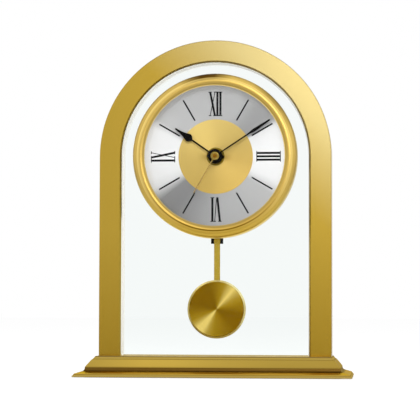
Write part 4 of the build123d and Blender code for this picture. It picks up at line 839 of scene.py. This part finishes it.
def vee(middle):
    left = middle - V_WIDTH / 2
    right = middle + V_WIDTH / 2
    thick = THICK_STROKE / 2 + SERIF_REACH * THICK_SERIF
    thin = THIN_STROKE / 2 + SERIF_REACH
    return [slanted(middle, left, THICK_STROKE), slanted(middle + THIN_STROKE, right, THIN_STROKE),
            head_serif(left, thick), head_serif(right, thin)]


def add_slab(work, low, high):
    """A closed slab between two outlines of as many corners."""
    under = [work.verts.new(spot) for spot in low]
    over = [work.verts.new(spot) for spot in high]
    work.faces.new(over)
    work.faces.new(under[::-1])
    join_loops(work, under, over)


def numeral(name, strokes, hour):
    """Thin ink over each stroke, turned to its hour."""
    work = bmesh.new()
    for stroke in strokes:
        add_slab(work, [(x, y, -INK_PROUD / 2) for x, y in stroke],
                 [(x, y, INK_PROUD / 2) for x, y in stroke])
    piece = finished_piece(name, work, ink)
    piece.data.transform(ink_place @ Matrix.Rotation(-hour * math.pi / 6, 4, "Z"))
    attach(piece, "case")


numeral("numeral_twelve", cross(TWELVE_X) + bar(TWELVE_BARS[0]) + bar(TWELVE_BARS[1]), 12)
numeral("numeral_three", bar(THREE_BARS[0]) + bar(THREE_BARS[1]) + bar(THREE_BARS[2]), 3)
numeral("numeral_six", vee(SIX_V) + bar(SIX_BAR), 6)
numeral("numeral_nine", bar(NINE_BAR) + cross(NINE_X), 9)

# A black nut with two pointed lugs clamps the dial head, the pane and the movement together.
# The hour and minute hands are stamped, on round bosses, under a thick coat of satin black paint.
HAND_FLECK = (1500.0, (0.0015, 0.0012, 0.0010, 1.0), (0.0035, 0.0028, 0.0022, 1.0))
HAND_ROUGH = (2500.0, 0.38, 0.5)
PAINT_COAT = 0.00011
WELD_REACH = 0.000001
NUT_REACH = 0.0049
NUT_BORE = 0.00402
NUT_CHAMFER = 0.0003
NUT_STEP = 3
LUG_REACH = 0.0062
LUG_TURN = 94.7
LUG_SPREAD = 18.0

hand_paint, tree, surface = finish("hand_paint")
feed_all(tree, surface, Base_Color=flecked(tree, *HAND_FLECK), Roughness=uneven(tree, *HAND_ROUGH),
         Specular_IOR_Level=0.04)
for name in ("hour_hand", "minute_hand"):
    dress(hand_paint, name)
    nodes[name].modifiers.new("closed", "WELD").merge_threshold = WELD_REACH
    moved_skin(name, "paint_coat", PAINT_COAT)

nut_low, nut_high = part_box("fixing_nut")
front = nut_low[1]
back = nut_high[1]
work = bmesh.new()
hoops = []
for turn in range(0, 360, NUT_STEP):
    off_lug = abs((turn - LUG_TURN + 90.0) % 180.0 - 90.0)
    reach = NUT_REACH + (LUG_REACH - NUT_REACH) * max(0.0, 1.0 - off_lug / LUG_SPREAD)
    side = math.sin(math.radians(turn))
    up = math.cos(math.radians(turn))
    profile = ((NUT_BORE, back), (reach, back), (reach, front + NUT_CHAMFER),
               (reach - NUT_CHAMFER, front), (NUT_BORE, front))
    hoops.append([work.verts.new((side * far, deep, HEAD_Z + up * far)) for far, deep in profile])
for hoop, following in zip(hoops, hoops[1:] + hoops[:1]):
    join_loops(work, hoop, following)
lugged_nut = finished_piece("lugged_nut", work, hand_paint)
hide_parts("fixing_nut")
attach(lugged_nut, "case")

# The second hand is a thin gold needle on a turned cap that closes the hub.
# The cap is browner in its middle.
CAP_BROWN = (0.21, 0.09, 0.006, 1.0)
CAP_GOLD = (0.25, 0.175, 0.035, 1.0)
CAP_FADE = (0.0010, 0.0020)
NEEDLE_GOLD = (0.36, 0.24, 0.07, 1.0)
NEEDLE_FADE = (0.0030, 0.0045)
CAP_RINGS = 9000.0
CAP_ROUGH = (0.18, 0.30)

cap_gold, tree, surface = finish("cap_gold")
rings = placed_group(tree, spun_rings, Centre=HEAD_CENTRE, Fineness=CAP_RINGS)
past_middle = share_between(tree, rings["Radius"], *CAP_FADE, "SMOOTHSTEP")
past_cap = share_between(tree, rings["Radius"], *NEEDLE_FADE, "SMOOTHSTEP")
cap_tone = blend_colour(tree, past_middle, CAP_BROWN, CAP_GOLD)
feed_all(tree, surface, Base_Color=blend_colour(tree, past_cap, cap_tone, NEEDLE_GOLD), Metallic=1.0,
         Roughness=spread(tree, rings["Rings"], *CAP_ROUGH))
dress(cap_gold, "second_hand")

# A flat glass covers the dial, and a polished gold bezel holds it. The bezel is turned, with
# a round outer rim, a step, a swelling band and a thin lip against the glass. Its tones stand at
# radii: painted highlights on the band and painted shade in the lines, darker towards the bottom,
# with a painted dark crescent on the top of the rim, a painted reflection of the arch above.
# It and the pan are left out of the rays that would shade the dial.
LENS_CLEAR = (0.985, 0.99, 0.99, 1.0)
LENS_ROUGH = (40.0, 0.0, 0.01)
BEZEL_SIDES = (
    (0.0476, (0.64, 0.500, 0.210)), (0.0483, (0.47, 0.320, 0.075)), (0.0491, (0.58, 0.400, 0.100)),
    (0.0508, (0.56, 0.380, 0.092)), (0.0518, (0.86, 0.630, 0.190)), (0.0528, (1.00, 0.750, 0.235)),
    (0.0531, (0.66, 0.455, 0.110)), (0.0545, (0.70, 0.490, 0.125)), (0.0560, (0.74, 0.560, 0.190)),
)
BEZEL_ENDS = (
    (0.0476, (0.48, 0.365, 0.150)), (0.0485, (0.40, 0.272, 0.072)), (0.0492, (0.46, 0.305, 0.070)),
    (0.0503, (0.51, 0.330, 0.066)), (0.0507, (0.20, 0.110, 0.004)), (0.0512, (0.20, 0.110, 0.004)),
    (0.0516, (0.74, 0.485, 0.074)), (0.0535, (0.77, 0.510, 0.075)), (0.0548, (0.98, 0.700, 0.120)),
    (0.0560, (0.92, 0.660, 0.110)),
)
BEZEL_FAN = (
    (0.0, 0.1), (70.0, 0.0), (110.0, 0.0), (135.0, 0.6), (160.0, 1.0), (200.0, 1.0), (225.0, 0.6),
    (250.0, 0.0), (345.0, 0.0), (360.0, 0.1),
)
BEZEL_SHADE = (
    (0.0, 0.95), (6.0, 0.5), (13.0, 0.0), (28.0, 0.0), (42.0, 0.40), (54.0, 0.40), (72.0, 0.0),
    (334.0, 0.0), (342.0, 0.6), (350.0, 1.0), (360.0, 0.95),
)
BEZEL_BROW = (
    (0.0476, 0.0), (0.0512, 0.0), (0.0516, 0.50), (0.0529, 0.45), (0.0533, 1.0), (0.0560, 1.0),
)
BEZEL_PAINTED_DARK = (0.10, 0.045, 0.004, 1.0)
BEZEL_DEEP = (0.48, 0.30, 0.055, 1.0)
BEZEL_DEEP_SHARE = 0.15
BEZEL_RINGS = 5200.0
BEZEL_ROUGH = (55.0, 0.34, 0.40)
BEZEL_RAISE = (0.03, 0.00002)

clear_glass("lens_glass", "lens", LENS_CLEAR, LENS_ROUGH)

polished_gold, tree, surface = finish("polished_gold")
rings = placed_group(tree, spun_rings, Centre=HEAD_CENTRE, Fineness=BEZEL_RINGS)
# Painted light and shade: bright bands as painted highlights, dark lines as painted shade, darker towards
# the bottom.
at_sides = ramp_of_tones(tree, rings["Radius"], BEZEL_SIDES)
at_ends = ramp_of_tones(tree, rings["Radius"], BEZEL_ENDS)
tone = blend_colour(tree, fan_of(tree, rings["Turn"], BEZEL_FAN), at_sides, at_ends)
deeper = blend_colour(tree, BEZEL_DEEP_SHARE, tone, BEZEL_DEEP)
ringed = blend_colour(tree, rings["Rings"], tone, deeper)
# Painted reflection and shade: a dark crescent over the top of the rim, and a dimmer patch at the upper
# right.
brow = ramp_of_shares(tree, rings["Radius"], BEZEL_BROW)
shaded = calc(tree, "MULTIPLY", brow, fan_of(tree, rings["Turn"], BEZEL_SHADE))
feed_all(tree, surface, Base_Color=blend_colour(tree, shaded, ringed, BEZEL_PAINTED_DARK), Metallic=1.0,
         Roughness=uneven(tree, *BEZEL_ROUGH))
raised(tree, surface, rings["Rings"], *BEZEL_RAISE)
dress(polished_gold, "bezel")
for name in ("bezel", "dial_pan"):
    nodes[name].visible_shadow = False
    nodes[name].visible_diffuse = False
    nodes[name].visible_glossy = False

# Behind the pane hangs the movement: a black moulded box on a turned brass bush, with a
# rubber washer against the glass and an open bay at the back for one cell. An arrow round the
# setting knob, the cell's two signs and a few ribs are moulded on its back.
CASE_GRAIN = (2600.0, 4.0)
CASE_BLACK = (0.017, 0.017, 0.018, 1.0)
CASE_SHINE = (0.028, 0.028, 0.030, 1.0)
CASE_ROUGH = (420.0, 0.42, 0.58)
CASE_RAISE = (0.25, 0.00006)
CASE_BACK = 0.0185
MARK_PROUD = 0.0003
MARK_SUNK = 0.0001
MARK_WIDE = 0.0009
ARROW_TAIL = 152
ARROW_NECK = 40
ARROW_STEP = 8
ARROW_TIP = 20
ARROW_REACH = 0.0092
ARROW_HEAD = (0.0082, 0.0111)
SIGN_X = 0.021
SIGN_ABOVE = 0.0042
SIGN_LONG = 0.0044
SIGN_ARM = 0.00175
SIGN_ARM_OFF = 0.00132
RIB_TOP = 0.0225
RIB_STEP = 0.0022
RIB_COUNT = 4
RIB_LONG = 0.030
RIB_WIDE = 0.0010
RUBBER_BLACK = (0.02, 0.02, 0.02, 1.0)
RUBBER_ROUGH = (900.0, 0.7, 0.85)
BRASS = (0.58, 0.40, 0.12, 1.0)
BRASS_ROUGH = (900.0, 0.22, 0.34)
THREAD_PITCH = 0.00075
THREAD_RAISE = (0.5, 0.0001)

case_plastic, tree, surface = finish("case_plastic")
spark = grain(tree, *CASE_GRAIN)
feed_all(tree, surface, Base_Color=blend_colour(tree, spark, CASE_BLACK, CASE_SHINE),
         Roughness=uneven(tree, *CASE_ROUGH))
raised(tree, surface, spark, *CASE_RAISE)
dress(case_plastic, "movement_front", "movement_case", "setting_knob")

knob_low, knob_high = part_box("setting_knob")
knob_x = (knob_low[0] + knob_high[0]) / 2
knob_z = (knob_low[2] + knob_high[2]) / 2
cell_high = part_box("battery")[1]
sign_z = cell_high[2] + SIGN_ABOVE


def round_knob(degrees, reach):
    angle = math.radians(degrees)
    return (knob_x + reach * math.cos(angle), knob_z + reach * math.sin(angle))


def moulded(name, outlines):
    """Low raised marks on the back of the case, moulded in one with it."""
    work = bmesh.new()
    for outline in outlines:
        add_slab(work, [(x, CASE_BACK - MARK_SUNK, z) for x, z in outline],
                 [(x, CASE_BACK + MARK_PROUD, z) for x, z in outline])
    piece = finished_piece(name, work, case_plastic)
    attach(piece, "case")


arrow = []
for start in range(ARROW_NECK, ARROW_TAIL, ARROW_STEP):
    end = start + ARROW_STEP
    arrow.append([round_knob(start, ARROW_REACH), round_knob(start, ARROW_REACH + MARK_WIDE),
                  round_knob(end, ARROW_REACH + MARK_WIDE), round_knob(end, ARROW_REACH)])
arrow.append([round_knob(ARROW_NECK, ARROW_HEAD[0]), round_knob(ARROW_NECK, ARROW_HEAD[1]),
              round_knob(ARROW_TIP, ARROW_REACH + MARK_WIDE / 2)])
moulded("knob_arrow", arrow)
moulded("plus_sign", [oblong(SIGN_X, sign_z, SIGN_LONG, MARK_WIDE),
                      oblong(SIGN_X, sign_z + SIGN_ARM_OFF, MARK_WIDE, SIGN_ARM),
                      oblong(SIGN_X, sign_z - SIGN_ARM_OFF, MARK_WIDE, SIGN_ARM)])
moulded("minus_sign", [oblong(-SIGN_X, sign_z, SIGN_LONG, MARK_WIDE)])
moulded("case_ribs", [oblong(0.0, HEAD_Z + RIB_TOP - RIB_STEP * step, RIB_LONG, RIB_WIDE)
                      for step in range(RIB_COUNT)])

soft_rubber, tree, surface = finish("soft_rubber")
feed_all(tree, surface, Base_Color=RUBBER_BLACK, Roughness=uneven(tree, *RUBBER_ROUGH))
dress(soft_rubber, "rubber_washer")


def waves(tree, value, pitch):
    """A wave along a distance, for threads and windings."""
    return calc(tree, "SINE", calc(tree, "MULTIPLY", value, 2 * math.pi / pitch))


turned_brass, tree, surface = finish("turned_brass")
across, deep, tall = place_of(tree)
feed_all(tree, surface, Base_Color=BRASS, Metallic=1.0, Roughness=uneven(tree, *BRASS_ROUGH))
raised(tree, surface, waves(tree, deep, THREAD_PITCH), *THREAD_RAISE)
dress(turned_brass, "threaded_bush")

# Inside the movement: a stepping motor with its wound coil, a circuit board with its crystal,
# and moulded wheels on their arbors.
GEAR_WHITE_FLECK = (300.0, (0.76, 0.76, 0.72, 1.0), (0.66, 0.66, 0.62, 1.0))
GEAR_CREAM_FLECK = (300.0, (0.62, 0.50, 0.26, 1.0), (0.54, 0.43, 0.21, 1.0))
GEAR_ROUGH = (700.0, 0.28, 0.4)
IRON_FLECK = (600.0, (0.36, 0.36, 0.35, 1.0), (0.26, 0.26, 0.26, 1.0))
IRON_ROUGH = (1100.0, 0.35, 0.5)
MAGNET_FLECK = (2000.0, (0.10, 0.10, 0.11, 1.0), (0.16, 0.16, 0.17, 1.0))
COPPER_DARK = (0.30, 0.10, 0.035, 1.0)
COPPER_BRIGHT = (0.62, 0.26, 0.10, 1.0)
WIRE_PITCH = 0.0002
WIRE_SHARE = (0.3, 1.0)
WIRE_RAISE = (0.5, 0.00008)
MASK_FLECK = (900.0, (0.010, 0.075, 0.030, 1.0), (0.018, 0.110, 0.045, 1.0))
PLATED = (0.70, 0.70, 0.70, 1.0)
PLATED_ROUGH = (900.0, 0.12, 0.25)

gear_white, tree, surface = finish("gear_white")
feed_all(tree, surface, Base_Color=flecked(tree, *GEAR_WHITE_FLECK), Roughness=uneven(tree, *GEAR_ROUGH))
dress(gear_white, "hour_wheel", "minute_wheel", "centre_wheel", "third_wheel", "intermediate_wheel")

gear_cream, tree, surface = finish("gear_cream")
feed_all(tree, surface, Base_Color=flecked(tree, *GEAR_CREAM_FLECK), Roughness=uneven(tree, *GEAR_ROUGH))
dress(gear_cream, "cannon_pinion", "second_wheel")

soft_iron, tree, surface = finish("soft_iron")
feed_all(tree, surface, Base_Color=flecked(tree, *IRON_FLECK), Metallic=1.0,
         Roughness=uneven(tree, *IRON_ROUGH))
dress(soft_iron, "stator", "coil_core")

magnet, tree, surface = finish("sintered_magnet")
feed_all(tree, surface, Base_Color=flecked(tree, *MAGNET_FLECK), Metallic=0.7, Roughness=0.5)
dress(magnet, "rotor", "hanger_magnet")

copper, tree, surface = finish("copper_winding")
across, deep, tall = place_of(tree)
turns = waves(tree, across, WIRE_PITCH)
lit_side = spread(tree, turns, *WIRE_SHARE)
feed_all(tree, surface, Base_Color=blend_colour(tree, lit_side, COPPER_DARK, COPPER_BRIGHT), Metallic=1.0,
         Roughness=0.3)
raised(tree, surface, turns, *WIRE_RAISE)
dress(copper, "motor_coil", "pendulum_coil")

solder_mask, tree, surface = finish("solder_mask")
feed_all(tree, surface, Base_Color=flecked(tree, *MASK_FLECK), Roughness=0.35)
dress(solder_mask, "circuit_board")

plated_can, tree, surface = finish("plated_can")
feed_all(tree, surface, Base_Color=PLATED, Metallic=1.0, Roughness=uneven(tree, *PLATED_ROUGH))
dress(plated_can, "quartz_crystal", "contact_plate", "contact_leaf")

# One cell lies across the bay. Its sleeve is plain dark print with a gold band at the positive
# end, and bare metal shows at both ends.
CELL_DARK = (0.022, 0.024, 0.030, 1.0)
CELL_GOLD = (0.56, 0.36, 0.08, 1.0)
CELL_METAL = (0.62, 0.62, 0.62, 1.0)
CELL_BAND = 0.0125
CELL_END = 0.0243
CELL_BAND_METAL = 0.9
CELL_ROUGH = (300.0, 0.25, 0.36)

cell_print, tree, surface = finish("cell_print")
across, deep, tall = place_of(tree)
band = calc(tree, "GREATER_THAN", across, CELL_BAND)
metal_end = calc(tree, "GREATER_THAN", calc(tree, "ABSOLUTE", across), CELL_END)
sleeve = blend_colour(tree, band, CELL_DARK, CELL_GOLD)
feed_all(tree, surface, Base_Color=blend_colour(tree, metal_end, sleeve, CELL_METAL),
         Metallic=calc(tree, "MAXIMUM", metal_end, calc(tree, "MULTIPLY", band, CELL_BAND_METAL)),
         Roughness=uneven(tree, *CELL_ROUGH))
dress(cell_print, "battery")

# The pendulum: a flat gold strip hung on a pin in a fork of black acetal, with a turned gold bob
# riveted on from behind. The bob is painted in bright and dark fans as painted sheen, and its
# bevelled rim is painted paler where it would catch the light, a painted highlight.
FORK_FLECK = (1800.0, (0.0020, 0.0014, 0.0010, 1.0), (0.0060, 0.0046, 0.0038, 1.0))
FORK_ROUGH = (700.0, 0.45, 0.6)
ROD_GOLD = (0.395, 0.260, 0.028, 1.0)
ROD_GOLD_EDGE = (0.450, 0.305, 0.045, 1.0)
ROD_LINES = 4000.0
ROD_ROUGH = (0.26, 0.38)
BOB_CENTRE = (0.0, 0.0, 0.0455)
BOB_PAINTED_LIGHT_AND_SHADE = ((0.0, (0.152, 0.066, 0.0)), (0.25, (0.372, 0.212, 0.008)), (1.0, (0.98, 0.72, 0.20)))
BOB_PAINTED_SHEEN = (
    (0.0, 0.12), (18.0, 0.28), (30.0, 0.62), (40.0, 0.95), (48.0, 0.62), (60.0, 0.34), (80.0, 0.15),
    (102.0, 0.0), (135.0, 0.0), (160.0, 0.12), (185.0, 0.22), (202.0, 0.42), (213.0, 0.95), (226.0, 0.93),
    (237.0, 0.44), (247.0, 0.24), (265.0, 0.10), (285.0, 0.0), (340.0, 0.0), (360.0, 0.12),
)
BOB_RINGS = 2400.0
BOB_RING_GOLD = (0.40, 0.25, 0.010, 1.0)
BOB_RING_SHARE = 0.22
BOB_RIM = 0.0188
BOB_RIM_GOLD = (0.60, 0.450, 0.150, 1.0)
BOB_RIM_PAINTED_HIGHLIGHT = (1.0, 0.86, 0.42, 1.0)
BOB_RIM_HIGHLIGHT_FAN = (
    (0.0, 0.2), (30.0, 1.0), (65.0, 1.0), (90.0, 0.2), (125.0, 0.6), (140.0, 1.0), (190.0, 1.0),
    (215.0, 0.3), (240.0, 0.0), (335.0, 0.0), (360.0, 0.2),
)
BOB_ROUGH = (0.26, 0.40)
BOB_PULL = 0.5
BOB_RAISE = (0.12, 0.00005)

fork_acetal, tree, surface = finish("fork_acetal")
feed_all(tree, surface, Base_Color=flecked(tree, *FORK_FLECK), Roughness=uneven(tree, *FORK_ROUGH),
         Specular_IOR_Level=0.1)
dress(fork_acetal, "pendulum_hanger")

rod_gold, tree, surface = finish("rod_gold")
across, deep, tall = place_of(tree)
lines = placed_group(tree, finishing_lines, Across=across, Depth=deep, Along=tall, Fineness=ROD_LINES)
feed_all(tree, surface, Base_Color=blend_colour(tree, lines["Lines"], ROD_GOLD, ROD_GOLD_EDGE),
         Metallic=1.0, Roughness=spread(tree, lines["Lines"], *ROD_ROUGH))
dress(rod_gold, "pendulum_rod", "bob_rivet", "rod_pin")

bob_gold, tree, surface = finish("bob_gold")
rings = placed_group(tree, spun_rings, Centre=BOB_CENTRE, Fineness=BOB_RINGS)
# Painted sheen: bright and dark fans round the bob's middle.
tone = ramp_of_tones(tree, fan_of(tree, rings["Turn"], BOB_PAINTED_SHEEN), BOB_PAINTED_LIGHT_AND_SHADE)
ring_share = spread(tree, rings["Rings"], 0.0, BOB_RING_SHARE)
ringed = blend_colour(tree, ring_share, tone, BOB_RING_GOLD)
# Painted highlight: the rim is painted paler where it would catch the light.
rim_tone = blend_colour(tree, fan_of(tree, rings["Turn"], BOB_RIM_HIGHLIGHT_FAN), BOB_RIM_GOLD, BOB_RIM_PAINTED_HIGHLIGHT)
on_rim = calc(tree, "GREATER_THAN", rings["Radius"], BOB_RIM)
feed_all(tree, surface, Base_Color=blend_colour(tree, on_rim, ringed, rim_tone), Metallic=1.0,
         Roughness=spread(tree, rings["Rings"], *BOB_ROUGH))
spun_sheen(tree, surface, rings["Rings"], BOB_PULL, *BOB_RAISE)
dress(bob_gold, "pendulum_bob")
